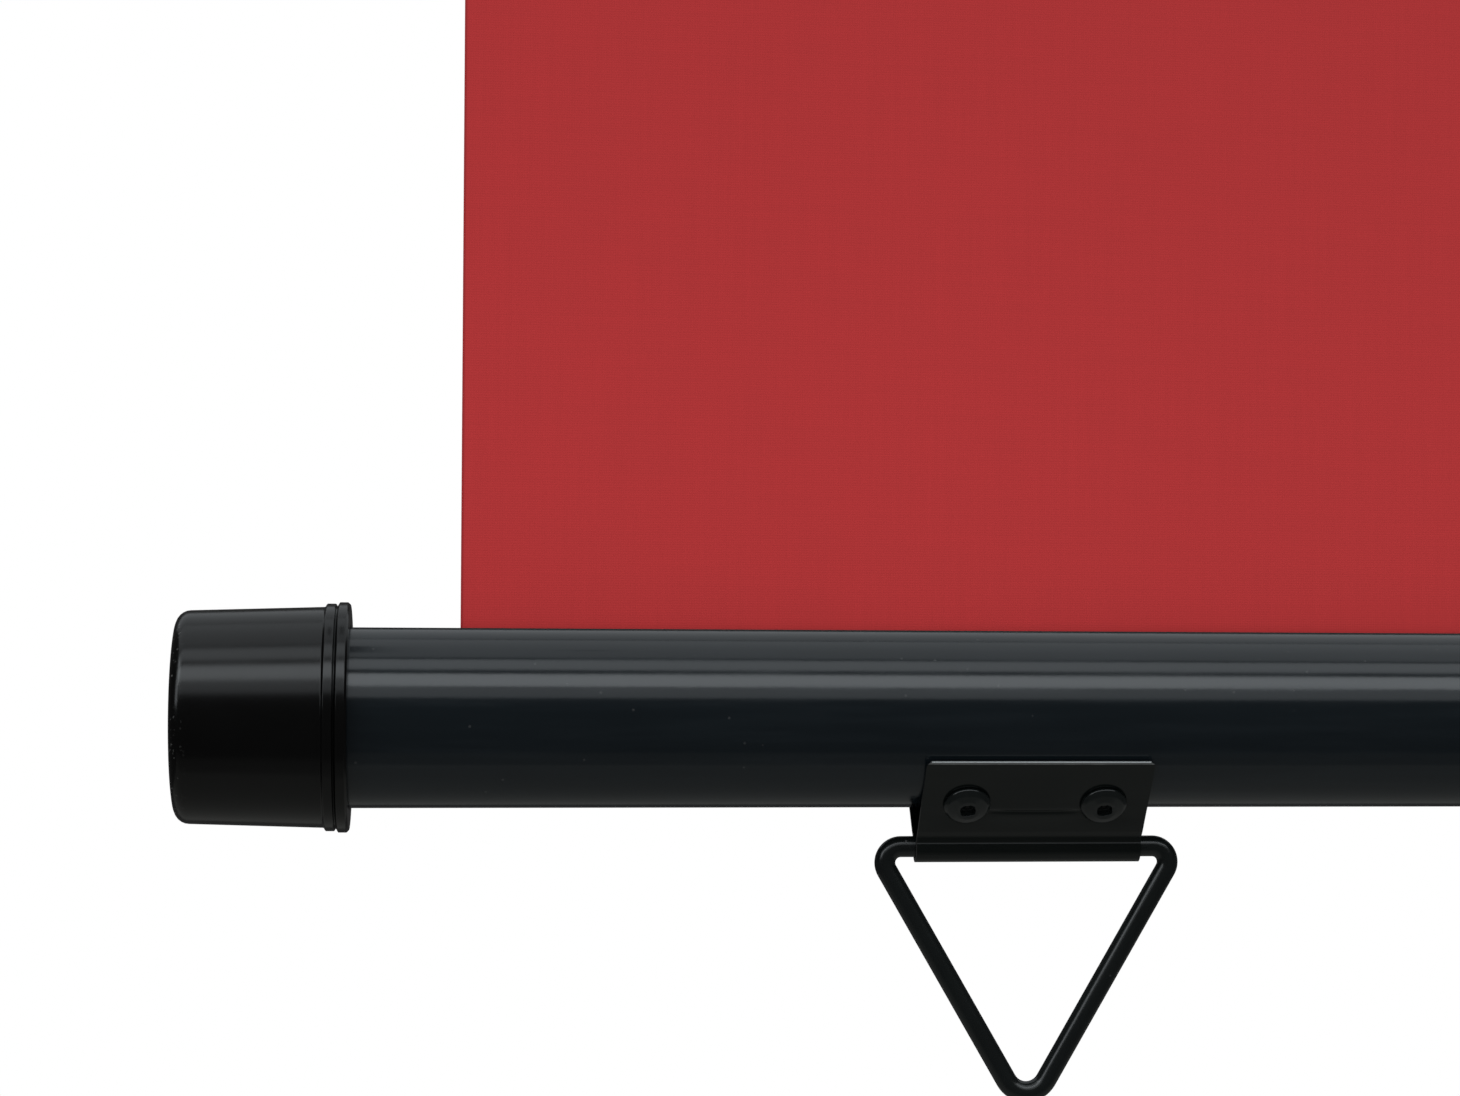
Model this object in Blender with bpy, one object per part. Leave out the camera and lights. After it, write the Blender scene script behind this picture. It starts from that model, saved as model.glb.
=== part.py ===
"""Spring roller awning with a hooked bottom bar, one object per sub-part. Metres, +Z up, front is -Y."""

import math

import bmesh
import bpy
import numpy as np
from mathutils import Vector

# ---- bottom bar -----------------------------------------------------------------------------
BAR_LENGTH = 0.5952
TUBE_R = 0.0190
TUBE_WALL = 0.0014
SLOT_HALF = 0.0019
CAP_LENGTH = 0.0358
CAP_BORE_R = 0.0193
CAP_BORE_DEPTH = 0.0300
CAP_R_OUTER_END = 0.0222
CAP_R_COLLAR_END = 0.0231
CAP_EDGE_R = 0.0030
COLLAR_R = 0.0241
KEDER_R = 0.0036
KEDER_Z = 0.0134

# ---- pull handle and its bracket ------------------------------------------------------------
HANDLE_FROM_END = 0.1796
WIRE_R = 0.00225
HANDLE_SIDE = 0.0665
HANDLE_TOP_BEND = 0.0034
HANDLE_APEX_BEND = 0.0050
PIVOT_DROP = 0.0274
KNUCKLE_BORE_R = 0.00255
SHEET_T = 0.0008
PLATE_WIDTH = 0.0486
PLATE_ANGLE = math.radians(43.0)
PLATE_TOP_Z = -0.0090
PLATE_BEND_Z = -0.0238
RIVET_Z = -0.0180
RIVET_SPACING = 0.0293
RIVET_HEAD_R = 0.0048
RIVET_SHANK_R = 0.0022
RIVET_HOLE_R = 0.0025

# ---- cloth ----------------------------------------------------------------------------------
CLOTH_WIDTH = 0.478
CLOTH_T = 0.0005
CLOTH_SHOWN = 0.260
ROLL_R = 0.0223

# ---- cassette -------------------------------------------------------------------------------
CASSETTE_WIDTH = 0.560
HOUSING_DEPTH = 0.062
HOUSING_HEIGHT = 0.062
HOUSING_WALL = 0.0016
HOUSING_Y = 0.0200
HOUSING_SLOT_HALF = 0.0032
CHEEK_T = 0.0060
CHEEK_PLUG = 0.0070
ROLLER_Y = 0.0229
ROLLER_R = 0.0140
ROLLER_BORE_R = 0.0128
ROLLER_HALF = 0.2500
SPINDLE_R = 0.0030
SPRING_R = 0.0085
SPRING_WIRE_R = 0.0009
SPRING_TURNS = 11

# ---- wall bracket ---------------------------------------------------------------------------
BRACKET_X = 0.2000
BRACKET_WIDTH = 0.0400
BRACKET_T = 0.0030
BRACKET_LEG = 0.0560
BRACKET_REACH = 0.0560
BRACKET_HOLE_DROP = 0.0420
GAP = 0.0003

CASSETTE_BOTTOM_Z = TUBE_R + CLOTH_SHOWN
ROLLER_Z = CASSETTE_BOTTOM_Z + HOUSING_HEIGHT / 2
CASSETTE_TOP_Z = CASSETTE_BOTTOM_Z + HOUSING_HEIGHT
WALL_Y = HOUSING_Y + HOUSING_DEPTH / 2 + GAP + BRACKET_T
SCREW_LINE_Z = CASSETTE_TOP_Z + GAP - BRACKET_HOLE_DROP
PIVOT_Z = -PIVOT_DROP
HANDLE_X = BAR_LENGTH / 2 - HANDLE_FROM_END

PAINT = {
    "bar_tube": ((0.035, 0.040, 0.043), 0.85, 0.22),
    "bar_cap": ((0.012, 0.013, 0.014), 0.0, 0.25),
    "keder": ((0.60, 0.60, 0.58), 0.0, 0.5),
    "handle_bracket": ((0.020, 0.023, 0.024), 0.6, 0.38),
    "pull_handle": ((0.014, 0.014, 0.015), 0.4, 0.42),
    "rivet": ((0.016, 0.018, 0.018), 0.6, 0.35),
    "cloth": ((0.395, 0.033, 0.034), 0.0, 0.85),
    "housing": ((0.035, 0.040, 0.043), 0.85, 0.25),
    "cheek": ((0.012, 0.013, 0.014), 0.0, 0.3),
    "steel": ((0.55, 0.56, 0.57), 1.0, 0.3),
    "spring": ((0.30, 0.30, 0.31), 1.0, 0.4),
    "plug": ((0.05, 0.05, 0.055), 0.0, 0.5),
    "bracket": ((0.030, 0.033, 0.035), 0.7, 0.4),
}


def clear_scene():
    for item in list(bpy.data.objects):
        bpy.data.objects.remove(item, do_unlink=True)


def paint(name, key):
    color, metallic, rough = PAINT[key]
    mat = bpy.data.materials.new(name + "_finish")
    mat.use_nodes = True
    shader = mat.node_tree.nodes["Principled BSDF"]
    shader.inputs["Base Color"].default_value = (*color, 1.0)
    shader.inputs["Metallic"].default_value = metallic
    shader.inputs["Roughness"].default_value = rough
    return mat


def solid(name, verts, faces, key):
    """One closed, outward-facing piece from vertices and faces given in the shared frame."""
    mesh = bpy.data.meshes.new(name)
    mesh.from_pydata([tuple(v) for v in verts], [], [tuple(f) for f in faces])
    work = bmesh.new()
    work.from_mesh(mesh)
    bmesh.ops.remove_doubles(work, verts=work.verts, dist=1e-7)
    bmesh.ops.recalc_face_normals(work, faces=work.faces)
    work.to_mesh(mesh)
    work.free()
    mesh.shade_smooth()
    mesh.set_sharp_from_angle(angle=math.radians(35))
    mesh.materials.append(paint(name, key))
    piece = bpy.data.objects.new(name, mesh)
    bpy.context.scene.collection.objects.link(piece)
    return piece


def prism(name, outline, x0, x1, key):
    """Extrudes a closed (y, z) outline along X."""
    count = len(outline)
    verts = [(x0, y, z) for y, z in outline] + [(x1, y, z) for y, z in outline]
    faces = [tuple(range(count)), tuple(range(2 * count - 1, count - 1, -1))]
    for i in range(count):
        j = (i + 1) % count
        faces.append((i, j, count + j, count + i))
    return solid(name, verts, faces, key)


def stepped(name, stations, key):
    """Stacks outlines of equal point count along X: stations is a list of (x, outline)."""
    count = len(stations[0][1])
    verts = [(x, y, z) for x, outline in stations for y, z in outline]
    last = len(stations) - 1
    faces = [tuple(range(count)), tuple(range(last * count, (last + 1) * count))]
    for k in range(last):
        for i in range(count):
            j = (i + 1) % count
            faces.append((k * count + i, k * count + j, (k + 1) * count + j, (k + 1) * count + i))
    return solid(name, verts, faces, key)


def lathe(name, profile, centre, axis, segs, key):
    """Turns a closed (along, radius) profile about an axis through centre; radius 0 makes a pole."""
    axis = Vector(axis).normalized()
    side = axis.orthogonal().normalized()
    other = axis.cross(side)
    centre = Vector(centre)
    verts = []
    rings = []
    for along, radius in profile:
        base = centre + axis * along
        if radius < 1e-9:
            rings.append([len(verts)] * segs)
            verts.append(tuple(base))
            continue
        ring = []
        for k in range(segs):
            turn = 2 * math.pi * k / segs
            ring.append(len(verts))
            verts.append(tuple(base + side * radius * math.cos(turn) + other * radius * math.sin(turn)))
        rings.append(ring)
    faces = []
    for a in range(len(rings)):
        b = (a + 1) % len(rings)
        if profile[a][1] < 1e-9 and profile[b][1] < 1e-9:
            continue
        for k in range(segs):
            m = (k + 1) % segs
            quad = [rings[a][k], rings[a][m], rings[b][m], rings[b][k]]
            faces.append(tuple(dict.fromkeys(quad)))
    return solid(name, verts, faces, key)


def rod(name, centre, axis, length, radius, segs, key, chamfer=0.0003):
    """A round pin with chamfered ends, starting at centre and running along axis."""
    profile = [
        (0.0, 0.0), (0.0, radius - chamfer), (chamfer, radius),
        (length - chamfer, radius), (length, radius - chamfer), (length, 0.0),
    ]
    return lathe(name, profile, centre, axis, segs, key)


def bent_tube(name, path, radius, sides, key, closed):
    """A round wire along a path of points; closed loops join up, open ones get flat ends."""
    points = [Vector(p) for p in path]
    count = len(points)
    verts = []
    faces = []
    up = None
    for i, point in enumerate(points):
        ahead = points[(i + 1) % count] if closed or i < count - 1 else point
        behind = points[i - 1] if closed or i > 0 else point
        run = (ahead - behind).normalized()
        if up is None:
            up = run.orthogonal().normalized()
        up = (up - run * up.dot(run)).normalized()
        across = run.cross(up)
        for k in range(sides):
            turn = 2 * math.pi * k / sides
            verts.append(tuple(point + (up * math.cos(turn) + across * math.sin(turn)) * radius))
    spans = count if closed else count - 1
    for i in range(spans):
        j = (i + 1) % count
        for k in range(sides):
            m = (k + 1) % sides
            faces.append((i * sides + k, i * sides + m, j * sides + m, j * sides + k))
    if not closed:
        faces.append(tuple(range(sides)))
        faces.append(tuple(range((count - 1) * sides, count * sides)))
    return solid(name, verts, faces, key)


def carve(piece, cutter):
    """Subtracts cutter from piece, keeps the result and removes the cutter."""
    step = piece.modifiers.new("carve", "BOOLEAN")
    step.operation = "DIFFERENCE"
    step.solver = "EXACT"
    step.object = cutter
    graph = bpy.context.evaluated_depsgraph_get()
    graph.update()
    cut = bpy.data.meshes.new_from_object(piece.evaluated_get(graph))
    piece.modifiers.clear()
    piece.data = cut
    bpy.data.objects.remove(cutter, do_unlink=True)


def drill(piece, centre, axis, radius, segs=24):
    """Cuts a through hole centred on a point."""
    reach = 0.012
    start = Vector(centre) - Vector(axis).normalized() * reach
    cutter = rod("cutter", start, axis, 2 * reach, radius, segs, "steel", 0.0001)
    carve(piece, cutter)


def arc(cy, cz, radius, start, end, steps):
    """Points of an arc in the (y, z) plane, angles in degrees from +Y towards +Z."""
    turns = np.radians(np.linspace(start, end, steps))
    return [(cy + radius * math.cos(t), cz + radius * math.sin(t)) for t in turns]


def housing_outline(inset):
    """Outline of the cassette's section, moved in by inset: one rounded corner after another."""
    half_y = HOUSING_DEPTH / 2 - inset
    half_z = HOUSING_HEIGHT / 2 - inset
    corners = [(1, -1, 0.006), (1, 1, 0.005), (-1, 1, 0.020), (-1, -1, 0.007)]
    points = []
    for k, (sy, sz, bend) in enumerate(corners):
        r = max(bend - inset, 0.0008)
        cy = HOUSING_Y + sy * (half_y - r)
        cz = ROLLER_Z + sz * (half_z - r)
        points += arc(cy, cz, r, -90 + 90 * k, 90 * k, 8)
    return points


def mirrored(sign):
    return "l" if sign < 0 else "r"


# ---- bottom bar -----------------------------------------------------------------------------
def plate_point(z, inset):
    """A point of the bracket's leaning front plate at height z, inset below its outer face."""
    normal = (-math.cos(PLATE_ANGLE), -math.sin(PLATE_ANGLE))
    down = (math.sin(PLATE_ANGLE), -math.cos(PLATE_ANGLE))
    reach = TUBE_R + GAP + SHEET_T - inset
    base = (normal[0] * reach, normal[1] * reach)
    s = (z - base[1]) / down[1]
    return (base[0] + down[0] * s, z)


def build_bar():
    pieces = []
    inner_half = BAR_LENGTH / 2 - CAP_LENGTH + CAP_BORE_DEPTH - 0.0005
    lip = math.degrees(math.asin(SLOT_HALF / TUBE_R))
    lip_in = math.degrees(math.asin(SLOT_HALF / (TUBE_R - TUBE_WALL)))
    outline = arc(0, 0, TUBE_R, 90 + lip, 450 - lip, 49)
    outline += arc(0, 0, TUBE_R - TUBE_WALL, 450 - lip_in, 90 + lip_in, 49)
    tube = prism("bar_tube", outline, -inner_half, inner_half, "bar_tube")
    pieces.append(tube)
    half = CLOTH_WIDTH / 2 - 0.001
    pieces.append(rod("keder_rod", (-half, 0, KEDER_Z), (1, 0, 0), 2 * half, KEDER_R, 20, "keder"))
    for sign in (-1, 1):
        pieces.append(build_bar_cap(sign))
        pieces += build_handle_bracket(sign, tube)
    return pieces


def build_bar_cap(sign):
    """End cap: a cup with a domed face, draft, and a two-step collar at its mouth."""
    mouth = CAP_LENGTH
    profile = [(0.0, 0.0), (0.0003, 0.0120)]
    for k in range(4):
        turn = math.radians(90 * k / 3)
        along = 0.0007 + CAP_EDGE_R * (1 - math.cos(turn))
        radius = CAP_R_OUTER_END - CAP_EDGE_R * (1 - math.sin(turn))
        profile.append((along, radius))
    profile.append((mouth - 0.0052, CAP_R_COLLAR_END))
    profile += [
        (mouth - 0.0048, COLLAR_R - 0.0003), (mouth - 0.0030, COLLAR_R - 0.0003),
        (mouth - 0.0027, COLLAR_R - 0.0008), (mouth - 0.0022, COLLAR_R),
        (mouth - 0.0006, COLLAR_R), (mouth, COLLAR_R - 0.0006), (mouth, CAP_BORE_R),
        (mouth - CAP_BORE_DEPTH, CAP_BORE_R), (mouth - CAP_BORE_DEPTH, 0.0),
    ]
    return lathe(
        "bar_cap_" + mirrored(sign), profile, (sign * BAR_LENGTH / 2, 0, 0), (-sign, 0, 0), 40, "bar_cap"
    )


def bracket_outline():
    """Section of the folded plate: leaning leg, bend, knuckle round the wire, mirrored leg."""
    knuckle_r = KNUCKLE_BORE_R + SHEET_T
    front_top = plate_point(PLATE_TOP_Z, 0)
    front_top_in = plate_point(PLATE_TOP_Z + 0.0006, SHEET_T)
    bend = plate_point(PLATE_BEND_Z, 0)
    bend_in = plate_point(PLATE_BEND_Z + 0.0004, SHEET_T)
    outer = [front_top, bend, (-knuckle_r - 0.0005, PIVOT_Z + 0.0022)]
    outer += arc(0, PIVOT_Z, knuckle_r, 165, 375, 23)
    outer += [(-y, z) for y, z in reversed(outer[:3])]
    inner = [front_top_in, bend_in, (-KNUCKLE_BORE_R - 0.0004, PIVOT_Z + 0.0026)]
    inner += arc(0, PIVOT_Z, KNUCKLE_BORE_R, 160, 380, 25)
    inner += [(-y, z) for y, z in reversed(inner[:3])]
    return outer + inner[::-1]


def build_handle_bracket(sign, tube):
    side = mirrored(sign)
    middle = sign * HANDLE_X
    plate = prism(
        "handle_bracket_" + side, bracket_outline(),
        middle - PLATE_WIDTH / 2, middle + PLATE_WIDTH / 2, "handle_bracket"
    )
    pieces = [plate]
    number = 0
    for face in (-1, 1):
        normal = Vector((0, face * math.cos(PLATE_ANGLE), -math.sin(PLATE_ANGLE)))
        foot = plate_point(RIVET_Z, 0)
        for step in (-0.5, 0.5):
            spot = Vector((middle + step * RIVET_SPACING, -face * foot[0], foot[1]))
            drill(plate, spot, normal, RIVET_HOLE_R, 16)
            drill(tube, spot - normal * 0.0030, normal, RIVET_HOLE_R, 16)
            number += 1
            pieces.append(build_rivet(f"rivet_{side}{number}", spot, normal))
    return pieces


def build_rivet(name, spot, normal):
    """Domed head with the mandrel's round hole, shank through plate and tube wall, upset tail."""
    head = RIVET_HEAD_R
    profile = [
        (-0.0078, 0.0), (-0.0078, RIVET_SHANK_R - 0.0004), (-0.0074, RIVET_SHANK_R),
        (GAP, RIVET_SHANK_R), (GAP, head - 0.0002), (GAP + 0.0004, head),
        (GAP + 0.0012, head * 0.82), (GAP + 0.0018, 0.0019), (GAP + 0.0008, 0.0016), (GAP + 0.0008, 0.0),
    ]
    return lathe(name, profile, spot, normal, 14, "rivet")


def build_handle(sign):
    """Closed wire triangle, point down, its top bar lying in the bracket's knuckle."""
    middle = sign * HANDLE_X
    half = HANDLE_SIDE / 2
    tip = PIVOT_Z - HANDLE_SIDE * math.sqrt(3) / 2
    corners = [
        ((-half, PIVOT_Z), HANDLE_TOP_BEND, 90), ((0, tip), HANDLE_APEX_BEND, 210),
        ((half, PIVOT_Z), HANDLE_TOP_BEND, 330),
    ]
    inward = [(math.cos(math.radians(a)), math.sin(math.radians(a))) for a in (-30, 90, 210)]
    path = []
    for (corner, bend, start), (ix, iz) in zip(corners, inward):
        cx = corner[0] + ix * 2 * bend
        cz = corner[1] + iz * 2 * bend
        for k in range(9):
            turn = math.radians(start + 120 * k / 8)
            path.append((middle + cx + bend * math.cos(turn), 0, cz + bend * math.sin(turn)))
    return [bent_tube("pull_handle_" + mirrored(sign), path, WIRE_R, 12, "pull_handle", True)]


# ---- cassette -------------------------------------------------------------------------------
def build_cassette():
    half = CASSETTE_WIDTH / 2
    outer = housing_outline(0)
    inner = housing_outline(HOUSING_WALL)
    floor = ROLLER_Z - HOUSING_HEIGHT / 2
    split = [i for i, (y, z) in enumerate(outer) if y < 0 and abs(z - floor) < 1e-9][-1]
    outer = outer[split + 1:] + outer[:split + 1] if split + 1 < len(outer) else outer
    inner = inner[split + 1:] + inner[:split + 1] if split + 1 < len(inner) else inner
    lips = [(HOUSING_SLOT_HALF, floor), (-HOUSING_SLOT_HALF, floor)]
    lips_in = [(HOUSING_SLOT_HALF, floor + HOUSING_WALL), (-HOUSING_SLOT_HALF, floor + HOUSING_WALL)]
    section = [lips[0]] + outer + [lips[1]] + [lips_in[1]] + inner[::-1] + [lips_in[0]]
    shell_half = half - CHEEK_T - GAP
    housing = prism("cassette_housing", section, -shell_half, shell_half, "housing")
    pieces = [housing]
    for sign in (-1, 1):
        pieces.append(build_cheek(sign))
        pieces += build_wall_bracket(sign, housing)
        pieces += build_cheek_screws(sign)
    return pieces


def build_cheek(sign):
    """Moulded end plate with a plug that enters the housing and a blind socket for the shaft."""
    half = CASSETTE_WIDTH / 2
    rim = housing_outline(-0.0006)
    edge = housing_outline(0.0006)
    plug = housing_outline(HOUSING_WALL + GAP)
    stations = [
        (half, edge), (half - 0.0012, rim), (half - CHEEK_T, rim),
        (half - CHEEK_T, plug), (half - CHEEK_T - CHEEK_PLUG, plug),
    ]
    stations = [(sign * x, outline) for x, outline in stations]
    cheek = stepped("cassette_cheek_" + mirrored(sign), stations, "cheek")
    mouth = (sign * (half - CHEEK_T - CHEEK_PLUG - 0.002), ROLLER_Y, ROLLER_Z)
    socket = rod("cutter", mouth, (sign, 0, 0), 0.0100, SPINDLE_R + GAP, 24, "steel", 0.0001)
    carve(cheek, socket)
    return cheek


def build_cheek_screws(sign):
    """Pan head screws that hold the end plate, one above and one below the shaft."""
    pieces = []
    cheek = bpy.data.objects["cassette_cheek_" + mirrored(sign)]
    spots = [(HOUSING_Y + 0.0235, ROLLER_Z - 0.0215), (HOUSING_Y + 0.0235, ROLLER_Z + 0.0215)]
    for number, (y, z) in enumerate(spots, 1):
        spot = Vector((sign * CASSETTE_WIDTH / 2, y, z))
        drill(cheek, spot, (sign, 0, 0), 0.0018, 16)
        profile = [
            (-0.0110, 0.0), (-0.0110, 0.0008), (-0.0095, 0.0015), (GAP, 0.0015), (GAP, 0.0030),
            (GAP + 0.0008, 0.0031), (GAP + 0.0018, 0.0024), (GAP + 0.0021, 0.0012),
            (GAP + 0.0012, 0.0008), (GAP + 0.0012, 0.0),
        ]
        name = f"cheek_screw_{mirrored(sign)}{number}"
        pieces.append(lathe(name, profile, spot, (sign, 0, 0), 12, "steel"))
    return pieces


def build_wall_bracket(sign, housing):
    """Folded strip: wall leg with two screw holes and an arm over the cassette."""
    side = mirrored(sign)
    x0 = sign * BRACKET_X - BRACKET_WIDTH / 2
    back = HOUSING_Y + HOUSING_DEPTH / 2 + GAP
    top = CASSETTE_TOP_Z + GAP
    t = BRACKET_T
    front = back - BRACKET_REACH
    outline = [(back + t, top - BRACKET_LEG)] + arc(back + t - 0.005, top + t - 0.005, 0.005, 0, 90, 7)
    outline += [(front, top + t), (front, top), (back, top)]
    outline += [(back, top - BRACKET_LEG)]
    bracket = prism("wall_bracket_" + side, outline, x0, x0 + BRACKET_WIDTH, "bracket")
    for offset in (-0.011, 0.011):
        spot = (sign * BRACKET_X + offset, back, top - BRACKET_HOLE_DROP)
        drill(bracket, spot, (0, 1, 0), 0.0028, 20)
    hold = Vector((sign * BRACKET_X, HOUSING_Y + 0.004, top))
    drill(bracket, hold, (0, 0, 1), 0.0028, 20)
    drill(housing, hold, (0, 0, 1), 0.0028, 20)
    profile = [
        (-0.0050, 0.0), (-0.0050, 0.0021), (-0.0046, 0.0025), (t + GAP, 0.0025),
        (t + GAP, 0.0046), (t + GAP + 0.0005, 0.0048), (t + GAP + 0.0019, 0.0041),
        (t + GAP + 0.0026, 0.0024), (t + GAP + 0.0026, 0.0016), (t + GAP + 0.0010, 0.0016),
        (t + GAP + 0.0010, 0.0),
    ]
    screw = lathe("bracket_screw_" + side, profile, hold, (0, 0, 1), 14, "steel")
    return [bracket, screw]


def build_spindle():
    """Fixed parts of the spring drive: shaft in the left cheek, anchor, spring; stub at the right."""
    seat = CASSETTE_WIDTH / 2 - CHEEK_T - CHEEK_PLUG + 0.0074
    pieces = [
        rod("spindle_l", (-seat, ROLLER_Y, ROLLER_Z), (1, 0, 0), 0.1660, SPINDLE_R, 20, "steel"),
        rod("idle_pin_r", (seat, ROLLER_Y, ROLLER_Z), (-1, 0, 0), 0.0340, SPINDLE_R, 20, "steel"),
    ]
    anchor_x = -seat + 0.1480
    profile = [
        (0.0, SPINDLE_R + GAP), (0.0, 0.0104), (0.0006, 0.0110), (0.0114, 0.0110),
        (0.0120, 0.0104), (0.0120, SPINDLE_R + GAP),
    ]
    pieces.append(lathe("spring_anchor", profile, (anchor_x, ROLLER_Y, ROLLER_Z), (1, 0, 0), 20, "plug"))
    start = -ROLLER_HALF + 0.0236
    length = anchor_x - 0.0014 - start
    path = []
    for k in range(SPRING_TURNS * 15 + 1):
        share = k / (SPRING_TURNS * 15)
        turn = 2 * math.pi * SPRING_TURNS * share
        path.append((
            start + length * share, ROLLER_Y + SPRING_R * math.cos(turn), ROLLER_Z + SPRING_R * math.sin(turn)
        ))
    pieces.append(bent_tube("torsion_spring", path, SPRING_WIRE_R, 5, "spring", False))
    return pieces


def build_roller():
    centre = (0, ROLLER_Y, ROLLER_Z)
    tube_profile = [
        (-ROLLER_HALF, ROLLER_BORE_R), (-ROLLER_HALF, ROLLER_R), (ROLLER_HALF, ROLLER_R),
        (ROLLER_HALF, ROLLER_BORE_R),
    ]
    pieces = [lathe("roller_tube", tube_profile, centre, (1, 0, 0), 32, "steel")]
    half = CLOTH_WIDTH / 2
    roll_profile = [
        (-half, ROLLER_R + GAP), (-half, ROLL_R), (half, ROLL_R), (half, ROLLER_R + GAP),
    ]
    pieces.append(lathe("cloth_roll", roll_profile, centre, (1, 0, 0), 48, "cloth"))
    for sign in (-1, 1):
        profile = [
            (-0.0180, SPINDLE_R + GAP), (-0.0180, 0.0119), (-0.0172, ROLLER_BORE_R - GAP),
            (GAP, ROLLER_BORE_R - GAP), (GAP, 0.0152), (0.0005, 0.0160), (0.0032, 0.0160),
            (0.0037, 0.0155), (0.0037, 0.0070), (0.0080, 0.0065), (0.0080, SPINDLE_R + GAP),
        ]
        spot = (sign * ROLLER_HALF, ROLLER_Y, ROLLER_Z)
        name = "roller_plug_" + mirrored(sign)
        pieces.append(lathe(name, profile, spot, (sign, 0, 0), 24, "plug"))
    return pieces


def build_cloth():
    """Flat cloth between the roll's tangent and the rod in the bar."""
    half = CLOTH_WIDTH / 2
    low = KEDER_Z + KEDER_R + GAP
    t = CLOTH_T / 2
    outline = [(-t, low), (t, low), (t, ROLLER_Z), (-t, ROLLER_Z)]
    return [prism("cloth_sheet", outline, -half, half, "cloth")]


def group(name, place, pieces):
    """Parents the pieces of one rigid body to an empty on its joint."""
    pivot = bpy.data.objects.new(name, None)
    pivot.location = place
    bpy.context.scene.collection.objects.link(pivot)
    bpy.context.view_layer.update()
    for piece in pieces:
        piece.parent = pivot
        piece.matrix_parent_inverse = pivot.matrix_world.inverted()
    return pivot


def hang_from_wall(pivots):
    """Moves the whole object so that the middle of the wall screw line is the origin."""
    for pivot in pivots:
        pivot.location -= Vector((0, WALL_Y, SCREW_LINE_Z))
    bpy.context.view_layer.update()


def main():
    clear_scene()
    fixed = build_cassette() + build_spindle() + build_cloth()
    turning = build_roller()
    bar = build_bar()
    left = build_handle(-1)
    right = build_handle(1)
    pivots = [
        group("cassette_body", (0, HOUSING_Y, ROLLER_Z), fixed),
        group("roller_body", (0, ROLLER_Y, ROLLER_Z), turning),
        group("bar_body", (0, 0, 0), bar),
        group("handle_l_body", (-HANDLE_X, 0, PIVOT_Z), left),
        group("handle_r_body", (HANDLE_X, 0, PIVOT_Z), right),
    ]
    hang_from_wall(pivots)


main()
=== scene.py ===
"""Roller awning: red cloth, round bottom bar with moulded caps and wire pull handles, wall cassette."""

import logging
import math
from dataclasses import dataclass, field
from enum import Enum
from typing import Any, Optional, Sequence

import bpy
import numpy as np
from mathutils import Matrix, Vector


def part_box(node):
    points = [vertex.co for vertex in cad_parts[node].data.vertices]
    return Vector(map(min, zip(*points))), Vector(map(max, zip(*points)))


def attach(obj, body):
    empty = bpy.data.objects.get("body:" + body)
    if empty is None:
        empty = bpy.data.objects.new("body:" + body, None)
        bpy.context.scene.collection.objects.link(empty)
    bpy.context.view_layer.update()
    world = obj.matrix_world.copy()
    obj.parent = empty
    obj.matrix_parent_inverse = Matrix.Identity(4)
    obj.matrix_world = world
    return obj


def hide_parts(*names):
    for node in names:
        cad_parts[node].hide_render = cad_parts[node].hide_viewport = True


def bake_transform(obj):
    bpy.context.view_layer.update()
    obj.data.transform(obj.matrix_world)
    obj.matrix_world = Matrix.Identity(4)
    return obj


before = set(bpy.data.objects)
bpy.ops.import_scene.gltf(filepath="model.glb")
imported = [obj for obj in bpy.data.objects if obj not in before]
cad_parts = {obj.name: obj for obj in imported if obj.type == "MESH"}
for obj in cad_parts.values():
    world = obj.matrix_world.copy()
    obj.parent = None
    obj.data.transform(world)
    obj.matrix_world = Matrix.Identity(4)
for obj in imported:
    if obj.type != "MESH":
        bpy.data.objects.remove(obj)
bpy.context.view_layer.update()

log = logging.getLogger("awning")
Array = np.ndarray
Color = tuple[float, float, float]
Corner = tuple[float, float, float]
Piece = bpy.types.Object


# ---- Shader writing ----
class Wire:
    """A node's output socket that does sums: each operator adds one Math node."""

    def __init__(self, bench: "Bench", socket: bpy.types.NodeSocket) -> None:
        """Keeps the output socket and the bench whose tree it is in."""
        self.bench = bench
        self.socket = socket

    def _sum(self, operation: str, first: Any, second: Any = None, clamp: bool = False) -> "Wire":
        """Adds a Math node of one or two values; clamp keeps its result between 0 and 1."""
        values = {0: first} if second is None else {0: first, 1: second}
        return self.bench.node("ShaderNodeMath", {"operation": operation, "use_clamp": clamp}, values)

    def __add__(self, other: Any) -> "Wire":
        """Sum."""
        return self._sum("ADD", self, other)

    __radd__ = __add__

    def __sub__(self, other: Any) -> "Wire":
        """Difference."""
        return self._sum("SUBTRACT", self, other)

    def __rsub__(self, other: Any) -> "Wire":
        """Reflected difference, as in 1 - mask."""
        return self._sum("SUBTRACT", other, self)

    def __mul__(self, other: Any) -> "Wire":
        """Product."""
        return self._sum("MULTIPLY", self, other)

    __rmul__ = __mul__

    def sine(self) -> "Wire":
        """Sine of the value in radians."""
        return self._sum("SINE", self)

    def size(self) -> "Wire":
        """Absolute value."""
        return self._sum("ABSOLUTE", self)

    def capped(self) -> "Wire":
        """The value held between 0 and 1."""
        return self._sum("ADD", self, 0.0, True)

    def over(self, low: float, high: float) -> "Wire":
        """Smooth step from 0 at low to 1 at high."""
        settings = {"interpolation_type": "SMOOTHSTEP"}
        return self.bench.node("ShaderNodeMapRange", settings, {0: self, 1: low, 2: high})


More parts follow.
